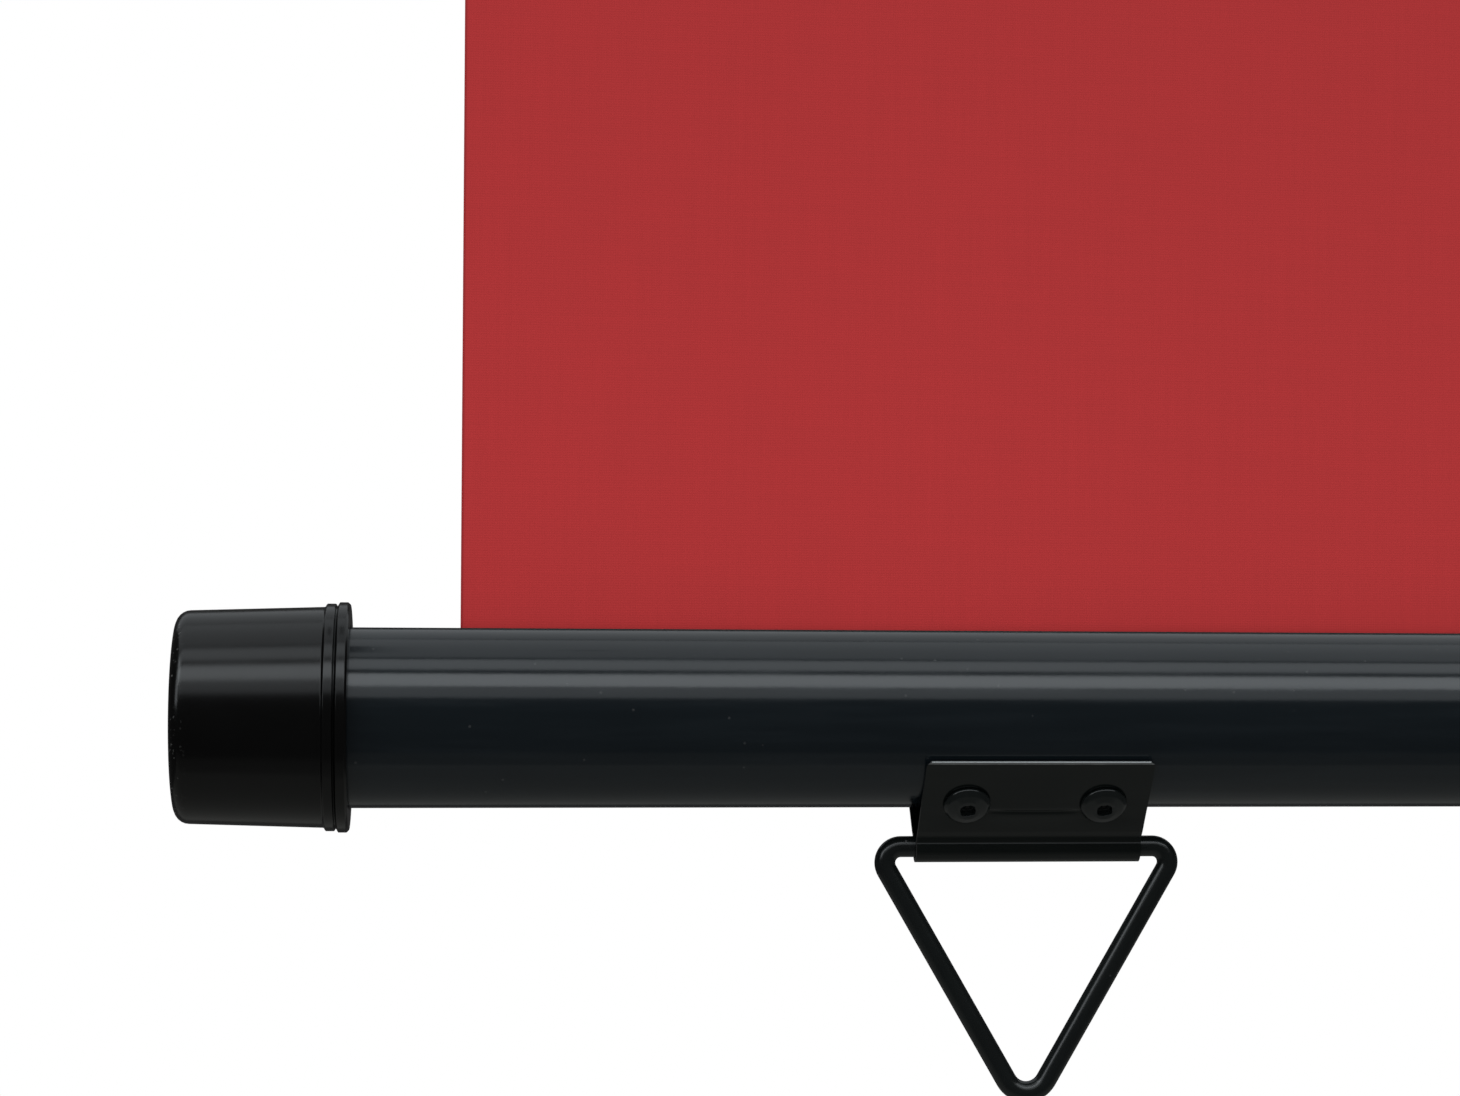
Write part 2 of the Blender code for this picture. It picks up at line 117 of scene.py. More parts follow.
class Bench:
    """One material being written: a Principled shader and the nodes that feed it."""

    def __init__(self, name: str) -> None:
        """Starts an empty node material with its shader and output.

        Args:
            name: the material's name.
        """
        self.material = bpy.data.materials.new(name)
        self.material.use_nodes = True
        self.tree = self.material.node_tree
        self.tree.nodes.clear()
        self.output = self.tree.nodes.new("ShaderNodeOutputMaterial")
        self.shader = self.tree.nodes.new("ShaderNodeBsdfPrincipled")
        self.tree.links.new(self.shader.outputs[0], self.output.inputs["Surface"])

    def node(self, kind: str, settings: dict[str, Any], values: dict[Any, Any], out: Any = 0) -> Wire:
        """Adds any node: settings first, then its sockets.

        Args:
            kind: node type.
            settings: properties by name.
            values: constants or wires by socket name or index.
            out: name or index of the output to return.

        Returns:
            The chosen output.
        """
        made = self.tree.nodes.new(kind)
        for key, value in settings.items():
            setattr(made, key, value)
        for key, value in values.items():
            self.feed(made.inputs[key], value)
        return Wire(self, made.outputs[out])

    def feed(self, socket: bpy.types.NodeSocket, value: Any) -> None:
        """Sets a socket to a constant or links a wire to it.

        Args:
            socket: the input socket.
            value: a Wire, number or tuple.
        """
        if isinstance(value, Wire):
            self.tree.links.new(value.socket, socket)
        else:
            socket.default_value = value

    def set(self, **values: Any) -> None:
        """Sets the shader's sockets; underscores in names stand for spaces."""
        for key, value in values.items():
            self.feed(self.shader.inputs[key.replace("_", " ")], value)

    def place(self, scale: Sequence[float] = (1.0, 1.0, 1.0)) -> Wire:
        """Object coordinates, stretched by a factor on each axis."""
        raw = self.node("ShaderNodeTexCoord", {}, {}, "Object")
        return self.node("ShaderNodeMapping", {}, {"Vector": raw, "Scale": tuple(scale)})

    def parts(self, where: Wire) -> tuple[Wire, Wire, Wire]:
        """Splits coordinates.

        Args:
            where: the coordinates.

        Returns:
            x, y and z.
        """
        made = self.tree.nodes.new("ShaderNodeSeparateXYZ")
        self.feed(made.inputs[0], where)
        return Wire(self, made.outputs[0]), Wire(self, made.outputs[1]), Wire(self, made.outputs[2])

    def noise(self, where: Wire, scale: float, detail: float = 3.0) -> Wire:
        """Fractal noise between 0 and 1, of so many features per metre and octaves of detail."""
        values = {"Vector": where, "Scale": scale, "Detail": detail, "Roughness": 0.55}
        return self.node("ShaderNodeTexNoise", {}, values, "Fac")

    def specks(self, where: Wire, scale: float, share: float, rarity: float = 0.80) -> Wire:
        """Round specks: 1 at the centre of some cells of a Voronoi pattern.

        Args:
            where: coordinates.
            scale: cells per metre.
            share: radius of a speck as a share of its cell.
            rarity: share of the cells that stay empty.

        Returns:
            The speck mask.
        """
        near = self.node("ShaderNodeTexVoronoi", {}, {"Vector": where, "Scale": scale}, "Distance")
        pick = self.node("ShaderNodeTexVoronoi", {}, {"Vector": where, "Scale": scale}, "Color")
        chosen = self.node("ShaderNodeSeparateColor", {}, {0: pick}).over(rarity, rarity + 0.04)
        return (1.0 - near.over(share * 0.5, share)) * chosen

    def blend(self, share: Any, first: Any, second: Any) -> Wire:
        """Mixes two colours.

        Args:
            share: weight of the second colour.
            first: colour at 0.
            second: colour at 1.

        Returns:
            The mixed colour.
        """
        settings = {"data_type": "RGBA"}
        values = {0: share, 6: paint(first), 7: paint(second)}
        return self.node("ShaderNodeMix", settings, values, 2)

    def bump(self, height: Wire, depth: float, under: Optional[Wire] = None) -> Wire:
        """Turns a height into a normal.

        Args:
            height: height between 0 and 1.
            depth: metres that 1 stands for.
            under: a normal to add to.

        Returns:
            The new normal.
        """
        values: dict[str, Any] = {"Height": height, "Strength": 1.0, "Distance": depth}
        if under is not None:
            values["Normal"] = under
        return self.node("ShaderNodeBump", {}, values)


def paint(value: Any) -> Any:
    """A colour with its alpha, or a wire as it is."""
    return value if isinstance(value, Wire) else (*value, 1.0)


# ---- Finishes ----
class Gloss(Enum):
    """How shiny a coat is: the roughness of its clean surface."""

    POLISHED = 0.11
    SATIN = 0.24
    DULL = 0.42


@dataclass(frozen=True)
class Finish:
    """A surface finish that can be made into a material."""

    name: str

    def write(self, bench: Bench) -> None:
        """Writes the nodes; each finish has its own."""
        raise NotImplementedError

    def make(self) -> bpy.types.Material:
        """Makes the material once, and then shares it.

        Returns:
            The finish as a material.
        """
        known = bpy.data.materials.get(self.name)
        if known is not None:
            return known
        bench = Bench(self.name)
        self.write(bench)
        return bench.material


@dataclass(frozen=True)
class PowderCoat(Finish):
    """Baked powder on metal: soft orange peel, faint streaks along the extrusion, dust.

    Above a given level, if there is one, the coat is drawn as bright bare metal: a painted highlight along
    the top edge.
    """

    color: Color = (0.0030, 0.0048, 0.0062)
    gloss: Gloss = Gloss.POLISHED
    peel: float = 0.000010
    dust: float = 0.10
    mirror: float = 0.5
    highlight_above: Optional[float] = None
    highlight_band: float = 0.0002

    def write(self, bench: Bench) -> None:
        """Height is noise at 1.5 mm and at 5 mm; tone and shine drift slowly along the piece.

        Args:
            bench: the material being written.
        """
        here = bench.place()
        along = bench.place((0.06, 1.0, 1.0))
        peel = bench.noise(here, 700.0, 2.0) * 0.7 + bench.noise(here, 200.0, 1.0) * 0.3
        streak = bench.noise(along, 420.0, 3.0).over(0.42, 0.75)
        cloud = bench.noise(here, 18.0, 4.0)
        speck = bench.specks(here, 300.0, 0.11) * self.dust
        lighter = tuple(min(1.0, c * 1.55 + 0.0012) for c in self.color)
        tone = bench.blend((cloud * 0.6 + streak * 0.4).capped(), self.color, lighter)
        tone = bench.blend(speck, tone, (0.16, 0.16, 0.155))
        shine = self.gloss.value + streak * 0.035 + cloud * 0.05 + speck * 0.3
        metal: Any = 0.0
        # Painted highlight: above the level the coat turns to bright bare metal, with a ragged lower edge.
        if self.highlight_above is not None:
            _, _, level = bench.parts(here)
            ragged = bench.noise(bench.place((0.4, 1.0, 1.0)), 800.0, 3.0) * self.highlight_band
            metal = (level + ragged).over(self.highlight_above - self.highlight_band, self.highlight_above)
            metal = metal * (cloud * 0.5 + 0.5)
            tone = bench.blend(metal, tone, (0.30, 0.31, 0.31))
        bench.set(Base_Color=tone, Roughness=shine, Metallic=metal)
        bench.set(IOR=1.5, Specular_IOR_Level=self.mirror)
        bench.set(Normal=bench.bump(peel, self.peel))


@dataclass(frozen=True)
class Moulded(Finish):
    """Injection-moulded plastic: fine grain, sink marks, pale scuffs and nicks from handling."""

    color: Color = (0.0010, 0.0010, 0.0010)
    shine: float = 0.16
    scuffs: float = 0.36
    mirror: float = 0.38
    edge_x: float = 0.0
    edge_reach: float = 0.006

    def write(self, bench: Bench) -> None:
        """Scuffs are specks stretched by noise, thicker where |x| nears the handled edge.

        Args:
            bench: the material being written.
        """
        here = bench.place()
        grain = bench.noise(here, 2600.0, 2.0)
        sink = bench.noise(here, 60.0, 2.0)
        scratch = bench.noise(bench.place((1.0, 0.05, 0.35)), 1500.0, 2.0).over(0.70, 0.74)
        across, _, _ = bench.parts(here)
        near_edge = sink.over(0.6, 0.8)
        if self.edge_x:
            near_edge = across.size().over(self.edge_x - self.edge_reach, self.edge_x)
        ragged = bench.noise(here, 900.0, 3.0).over(0.50, 0.62)
        nicks = bench.specks(here, 1500.0, 0.50, 0.55) * ragged * near_edge
        nicks = nicks + bench.specks(here, 150.0, 0.045) * 0.5
        wear = (nicks + scratch * near_edge * 0.25) * self.scuffs
        tone = bench.blend(sink.over(0.3, 0.8) * 0.5, self.color, tuple(c * 1.8 for c in self.color))
        tone = bench.blend(wear.capped(), tone, (0.30, 0.30, 0.29))
        bench.set(Base_Color=tone, Metallic=0.0, IOR=1.5, Specular_IOR_Level=self.mirror)
        bench.set(Roughness=self.shine + sink * 0.06 + wear.capped() * 0.4)
        relief = bench.bump(grain, 0.000004)
        bench.set(Normal=bench.bump(wear.capped(), 0.00003, relief))


@dataclass(frozen=True)
class AwningCloth(Finish):
    """Plain-woven acrylic: warp over weft in a chequer, slubs, soft sheen. Reads the piece's own UV.

    Towards the hem end the tone is paler: painted light that evens out the light falling off down the
    cloth. The cut side edges are sealed and darker.
    """

    color: Color = (0.377, 0.0254, 0.0266)
    pitch: float = 0.00052
    paler_from: float = -0.33
    paler_to: float = -0.08
    cut_edge: float = 0.2387
    seal: float = 0.0004

    def write(self, bench: Bench) -> None:
        """Height is |sin| of each thread's place, the warp's where both threads are even or odd.

        Args:
            bench: the material being written.
        """
        flat = bench.node("ShaderNodeUVMap", {"uv_map": "Cloth"}, {})
        place, rise, _ = bench.parts(flat)
        turn = math.pi / self.pitch
        warp = (place * turn).sine()
        weft = (rise * turn).sine()
        crown = warp * weft * 0.5 + 0.5
        ribs = warp.size() * crown + weft.size() * (1.0 - crown)
        slub_warp, slub_weft = (
            bench.noise(bench.node("ShaderNodeMapping", {}, {"Vector": flat, "Scale": stretch}), 900.0)
            for stretch in ((1.0, 0.03, 1.0), (0.03, 1.0, 1.0)))
        cloud = bench.noise(flat, 9.0, 3.0)
        # Painted light: the tone grows paler towards the hem, evening out the lamps' fall-off down the
        # cloth.
        painted_lift = 1.0 - rise.over(self.paler_from, self.paler_to)
        deep = tuple(c * 0.78 for c in self.color)
        pale = tuple(min(1.0, c * 1.17 + 0.002) for c in self.color)
        share = ribs * 0.18 + slub_warp * 0.18 + slub_weft * 0.15 + cloud * 0.13 + painted_lift * 0.40
        tone = bench.blend(share.capped(), deep, pale)
        sealed = place.size().over(self.cut_edge - self.seal, self.cut_edge)
        tone = bench.blend(sealed * 0.55, tone, tuple(c * 0.45 for c in self.color))
        bench.set(Base_Color=tone, Roughness=0.86 + slub_weft * 0.08, Metallic=0.0)
        bench.set(Sheen_Weight=0.12, Sheen_Roughness=0.5, Specular_IOR_Level=0.12)
        height = ribs * 0.7 + slub_warp * 0.3 + slub_weft * 0.3
        bench.set(Normal=bench.bump(height, 0.000035))


@dataclass(frozen=True)
class BareSteel(Finish):
    """Zinc-plated or drawn steel: drawn lines round or along the piece, spangle, dull patches."""

    color: Color = (0.55, 0.56, 0.57)
    gloss: Gloss = Gloss.SATIN
    stretch: tuple[float, float, float] = (0.05, 1.0, 1.0)
    tarnish: float = 0.25

    def write(self, bench: Bench) -> None:
        """Fine lines are noise squeezed along the drawing direction; tarnish is slow noise.

        Args:
            bench: the material being written.
        """
        here = bench.place()
        lines = bench.noise(bench.place(self.stretch), 3200.0, 2.0)
        spangle = bench.node("ShaderNodeTexVoronoi", {}, {"Vector": here, "Scale": 260.0}, "Distance")
        old = bench.noise(here, 90.0, 4.0).over(0.45, 0.75) * self.tarnish
        tone = bench.blend(old, self.color, tuple(c * 0.45 for c in self.color))
        tone = bench.blend(spangle.capped() * 0.25, tone, tuple(c * 0.75 for c in self.color))
        bench.set(Base_Color=tone, Metallic=1.0, Roughness=self.gloss.value + lines * 0.14 + old * 0.3)
        bench.set(Normal=bench.bump(lines, 0.000004))


@dataclass(frozen=True)
class DippedWire(Finish):
    """Black dip coat on bent wire: slight runs, duller patches, small chips."""

    color: Color = (0.0034, 0.0044, 0.0044)
    shine: float = 0.13

    def write(self, bench: Bench) -> None:
        """Runs are noise stretched downwards, chips are specks where slow noise is high.

        Args:
            bench: the material being written.
        """
        here = bench.place()
        runs = bench.noise(bench.place((1.0, 1.0, 0.25)), 420.0, 3.0)
        slow = bench.noise(here, 55.0, 2.0)
        chips = bench.specks(here, 700.0, 0.22) * slow.over(0.55, 0.70)
        tone = bench.blend(runs * 0.6, self.color, tuple(c * 1.7 for c in self.color))
        tone = bench.blend(chips * 0.7, tone, (0.16, 0.16, 0.17))
        bench.set(Base_Color=tone, Metallic=0.0, IOR=1.5)
        bench.set(Roughness=self.shine + slow * 0.16 + chips * 0.2)
        bench.set(Normal=bench.bump(runs, 0.00002, bench.bump(bench.noise(here, 1700.0), 0.000004)))


TUBE_COAT = PowderCoat("bar powder coat")
BOX_COAT = PowderCoat("cassette powder coat", color=(0.0075, 0.0088, 0.0100), gloss=Gloss.SATIN,
                      peel=0.000014)
# The bracket's top edge gets a painted highlight: a band above a fixed level drawn as bright bare metal.
PLATE_COAT = PowderCoat("bracket black coat", color=(0.0016, 0.0024, 0.0022), gloss=Gloss.POLISHED,
                        peel=0.000006, dust=0.05, mirror=0.38, highlight_above=-0.30838)
HANGER_COAT = PowderCoat("wall bracket coat", color=(0.0120, 0.0130, 0.0140), gloss=Gloss.DULL,
                         peel=0.000018)
CAP_PLASTIC = Moulded("cap plastic", edge_x=0.2995)
CHEEK_PLASTIC = Moulded("cassette end plastic", color=(0.0040, 0.0041, 0.0043), shine=0.3,
                        edge_x=0.2798, scuffs=0.3)
PLUG_PLASTIC = Moulded("plug plastic", color=(0.020, 0.020, 0.021), shine=0.45, scuffs=0.2)
KEDER_PLASTIC = Moulded("hem rod plastic", color=(0.55, 0.55, 0.53), shine=0.40, scuffs=0.1)
RED_CLOTH = AwningCloth("red awning cloth")
WIRE_COAT = DippedWire("handle dip coat")
RIVET_COAT = DippedWire("rivet black", color=(0.0036, 0.0046, 0.0045), shine=0.10)
# The pin's steel is painted near black: painted shade in the rivet's hole.
DARKENED_PIN = BareSteel("rivet pin steel painted dark", color=(0.035, 0.035, 0.035), gloss=Gloss.DULL, tarnish=0.5)
ZINC = BareSteel("zinc plate", stretch=(1.0, 1.0, 1.0), tarnish=0.35)
DRAWN = BareSteel("drawn shaft", gloss=Gloss.POLISHED)
TUBE_ZINC = BareSteel("galvanised roller", tarnish=0.45)
SPRING = BareSteel("oiled spring wire", color=(0.20, 0.20, 0.21), stretch=(1.0, 1.0, 1.0))


# ---- Mesh making ----
class Ends(Enum):
    """How a row of rings is closed; NONE joins the last ring to the first."""

    NONE = "none"
    FAN = "fan"
    LADDER = "ladder"


def loft(name: str, loops: Array, ends: Ends, flat: float = 30.0) -> Piece:
    """Joins rings of points into one surface: quads between ring i and i + 1, point j and j + 1.

    A fan closes an end with triangles to its middle; a ladder joins point j to point n - 1 - j,
    which closes a folded strip whose loop runs out along one face and back along the other.

    Args:
        name: the piece's name.
        loops: array (rings, points, 3), in metres.
        ends: how the first and last ring are closed.
        flat: angle in degrees above which an edge is sharp.

    Returns:
        The new object, faces outwards, at the origin.
    """
    rings, count = loops.shape[:2]
    points = loops.reshape(-1, 3)
    spans = rings if ends is Ends.NONE else rings - 1
    i = np.arange(spans)[:, None]
    j = np.arange(count)[None, :]
    nxt = (j + 1) % count
    up = (i + 1) % rings
    quads = np.stack([i * count + j, i * count + nxt, up * count + nxt, up * count + j], -1).reshape(-1, 4)
    faces = [quads]
    if ends is Ends.LADDER:
        k = np.arange(count // 2 - 1)
        step = np.stack([k, count - 1 - k, count - 2 - k, k + 1], -1)
        last = (rings - 1) * count
        faces += [step, (step + last)[:, ::-1]]
    tris = np.zeros((0, 3), int)
    if ends is Ends.FAN:
        middle = np.stack([loops[0].mean(0), loops[-1].mean(0)])
        base = len(points)
        points = np.vstack([points, middle])
        k = np.arange(count)
        m = (k + 1) % count
        last = (rings - 1) * count
        first = np.stack([np.full(count, base), m, k], -1)
        final = np.stack([np.full(count, base + 1), k + last, m + last], -1)
        tris = np.vstack([first, final])
    return build_mesh(name, points, np.vstack(faces), tris, flat)


def build_mesh(name: str, points: Array, quads: Array, tris: Array, flat: float) -> Piece:
    """Makes a mesh from whole arrays and turns it the right way out by its signed volume.

    Args:
        name: the piece's name.
        points: (n, 3) vertices in metres.
        quads: (m, 4) corners.
        tris: (k, 3) corners.
        flat: sharp-edge angle in degrees.

    Returns:
        The new object.
    """
    halves = np.vstack([quads[:, [0, 1, 2]], quads[:, [0, 2, 3]], tris])
    a, b, c = (points[halves[:, k]] - points.mean(0) for k in range(3))
    if np.einsum("ij,ij->i", a, np.cross(b, c)).sum() < 0:
        quads = quads[:, ::-1]
        tris = tris[:, ::-1]
    mesh = bpy.data.meshes.new(name)
    mesh.vertices.add(len(points))
    mesh.vertices.foreach_set("co", points.astype(np.float32).ravel())
    corners = np.concatenate([quads.ravel(), tris.ravel()]).astype(np.int32)
    totals = np.concatenate([np.full(len(quads), 4), np.full(len(tris), 3)]).astype(np.int32)
    starts = np.concatenate([[0], np.cumsum(totals)[:-1]]).astype(np.int32)
    mesh.loops.add(len(corners))
    mesh.loops.foreach_set("vertex_index", corners)
    mesh.polygons.add(len(totals))
    mesh.polygons.foreach_set("loop_start", starts)
    mesh.polygons.foreach_set("loop_total", totals)
    mesh.update(calc_edges=True)
    mesh.validate()
    mesh.shade_smooth()
    mesh.set_sharp_from_angle(angle=math.radians(flat))
    made = bpy.data.objects.new(name, mesh)
    bpy.context.scene.collection.objects.link(made)
    return made


def rounded(corners: Sequence[Corner], closed: bool, steps: int = 7) -> Array:
    """A 2-D path through corners (a, b, radius), each corner cut by an arc tangent to both sides.

    The arc starts radius * tan(turn / 2) before the corner; a radius of 0 keeps it sharp.

    Args:
        corners: the path's corners.
        closed: whether the path closes on itself.
        steps: points on each arc.

    Returns:
        (n, 2) points.
    """
    out: list[Array] = []
    count = len(corners)
    for k, (a, b, radius) in enumerate(corners):
        here = np.array([a, b])
        if radius <= 0 or (not closed and k in (0, count - 1)):
            out.append(here[None, :])
            continue
        back = np.array(corners[k - 1][:2]) - here
        ahead = np.array(corners[(k + 1) % count][:2]) - here
        back = back / np.linalg.norm(back)
        ahead = ahead / np.linalg.norm(ahead)
        half = math.acos(float(np.clip(back @ ahead, -1, 1))) / 2
        reach = radius / math.tan(half)
        middle = here + (back + ahead) / np.linalg.norm(back + ahead) * radius / math.sin(half)
        start = here + back * reach - middle
        finish = here + ahead * reach - middle
        a0 = math.atan2(start[1], start[0])
        a1 = math.atan2(finish[1], finish[0])
        sweep = (a1 - a0 + math.pi) % (2 * math.pi) - math.pi
        turn = a0 + sweep * np.linspace(0, 1, steps)
        out.append(middle + radius * np.stack([np.cos(turn), np.sin(turn)], -1))
    return np.vstack(out)


def dense(path: Array, pitch: float, closed: bool = False) -> Array:
    """The path with points added so that none are further apart than pitch.

    Args:
        path: (n, 2) or (n, 3) points.
        pitch: the largest step, in metres.
        closed: whether the path closes on itself.

    Returns:
        The finer path.
    """
    ring = np.vstack([path, path[:1]]) if closed else path
    gaps = np.linalg.norm(np.diff(ring, axis=0), axis=1)
    counts = np.maximum(1, np.ceil(gaps / pitch).astype(int))
    runs = [ring[k] + (ring[k + 1] - ring[k]) * (np.arange(n) / n)[:, None] for k, n in enumerate(counts)]
    return np.vstack(runs if closed else [*runs, ring[-1:]])


def thicken(path: Array, thick: float, nose: int = 0) -> Array:
    """A loop round a folded strip: the path moved by half its thickness to each side.

    A nose rounds each end of the strip by a half circle, whose points stand at (k + 1/2) / nose of
    the half turn, so that the loop stays the same from both ends.

    Args:
        path: (n, 2) middle line.
        thick: the strip's thickness.
        nose: points on each rounded end, an even number, or 0 for square ends.

    Returns:
        (2n + 2 nose, 2) loop, out along one face and back along the other.
    """
    run = np.gradient(path, axis=0)
    run = run / np.linalg.norm(run, axis=1, keepdims=True)
    half = thick / 2
    side = np.stack([-run[:, 1], run[:, 0]], -1) * half
    if nose == 0:
        return np.vstack([path + side, (path - side)[::-1]])
    turn = np.pi * (np.arange(nose // 2) + 0.5) / nose
    first = path[0] - run[0] * half * np.cos(turn)[:, None] + side[0] * np.sin(turn)[:, None]
    final = path[-1] + run[-1] * half * np.cos(turn)[:, None] + side[-1] * np.sin(turn)[:, None]
    first_under = 2 * path[0] - first - 2 * run[0] * half * np.cos(turn)[:, None]
    final_under = 2 * path[-1] - final + 2 * run[-1] * half * np.cos(turn)[:, None]
    return np.vstack([first, path + side, final[::-1], final_under, (path - side)[::-1], first_under[::-1]])


def along_x(loop: Array, stations: Array) -> Array:
    """Carries a (y, z) loop along X.

    Args:
        loop: (n, 2) points.
        stations: x of each copy.

    Returns:
        (stations, n, 3) array.
    """
    x = np.broadcast_to(stations[:, None], (len(stations), len(loop)))
    y = np.broadcast_to(loop[:, 0], x.shape)
    z = np.broadcast_to(loop[:, 1], x.shape)
    return np.stack([x, y, z], -1)


def wire(name: str, path: Array, radius: float, sides: int) -> Piece:
    """A round wire along a closed path in the X-Z plane: each ring is set in the path's normal and Y.

    Args:
        name: the piece's name.
        path: (n, 3) points with one y.
        radius: the wire's radius.
        sides: points round the wire.

    Returns:
        The new object.
    """
    run = np.roll(path, -1, axis=0) - np.roll(path, 1, axis=0)
    run = run / np.linalg.norm(run, axis=1, keepdims=True)
    side = np.stack([-run[:, 2], np.zeros(len(run)), run[:, 0]], -1)
    angle = np.linspace(0.0, 2.0 * np.pi, sides, endpoint=False)
    depth = np.array([0.0, 1.0, 0.0])
    ring = np.cos(angle)[None, :, None] * side[:, None, :] + np.sin(angle)[None, :, None] * depth
    return loft(name, path[:, None, :] + radius * ring, Ends.NONE, flat=60)


def fit_out(piece: Piece, finish: Finish, body: Optional[str], *nodes: str) -> Piece:
    """Gives a piece its finish, its body and the nodes that it stands for.

    Args:
        piece: the piece.
        finish: its finish.
        body: the body that it rides on, or None to leave it on no body.
        nodes: the CAD nodes that it replaces, which are hidden.

    Returns:
        The piece.
    """
    piece.data.materials.clear()
    piece.data.materials.append(finish.make())
    if body is not None:
        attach(piece, body)
    if nodes:
        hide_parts(*nodes)
    where = body or "bent between two bodies"
    log.info("%s: %d faces, %s, %s", piece.name, len(piece.data.polygons), finish.name, where)
    return piece


def redress(finish: Finish, *names: str) -> None:
    """Gives CAD nodes a finish in place and hides them from glossy rays.

    Args:
        finish: the finish.
        names: the nodes.
    """
    for name in names:
        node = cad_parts[name]
        node.data.materials.clear()
        node.data.materials.append(finish.make())
        node.visible_glossy = False
        log.info("%s: kept, %s", name, finish.name)


SIDES = {"l": -1, "r": 1}


def box_of(node: str) -> tuple[Array, Array]:
    """A CAD node's lowest and highest corners."""
    low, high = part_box(node)
    return np.array(low), np.array(high)


def turn_shape(name: str, corners: Sequence[Corner], centre: Sequence[float], axis: Sequence[float],
               turns: int, lobes: tuple[float, int, float] = (0.0, 0, 0.0)) -> Piece:
    """Turns a rounded profile; rings inside a radius may swell and shrink round the axis.

    A lobed ring has radius r (1 + depth cos(count t)), which makes a socket for a driver.

    Args:
        name: the piece's name.
        corners: the profile's corners (along, radius, rounding).
        centre: a point on the axis.
        axis: the axis.
        turns: points round the axis.
        lobes: (largest radius that is lobed, how many lobes, their depth).

    Returns:
        The new object.
    """
    profile = rounded(corners, closed=False)
    reach, count, depth = lobes
    line = Vector(axis).normalized()
    side = np.array(line.orthogonal().normalized())
    other = np.cross(np.array(line), side)
    angle = np.linspace(0.0, 2.0 * np.pi, turns, endpoint=False)
    around = np.cos(angle)[:, None] * side + np.sin(angle)[:, None] * other
    last = int(np.argmax(profile[:, 1]))
    inside = (np.arange(len(profile)) > last) & (profile[:, 1] <= reach)
    swell = 1.0 + depth * np.where(inside[:, None], np.cos(count * angle)[None, :], 0.0)
    radius = profile[:, 1, None] * swell
    loops = np.array(centre) + profile[:, 0, None, None] * np.array(line) + radius[..., None] * around
    return loft(name, loops, Ends.FAN)


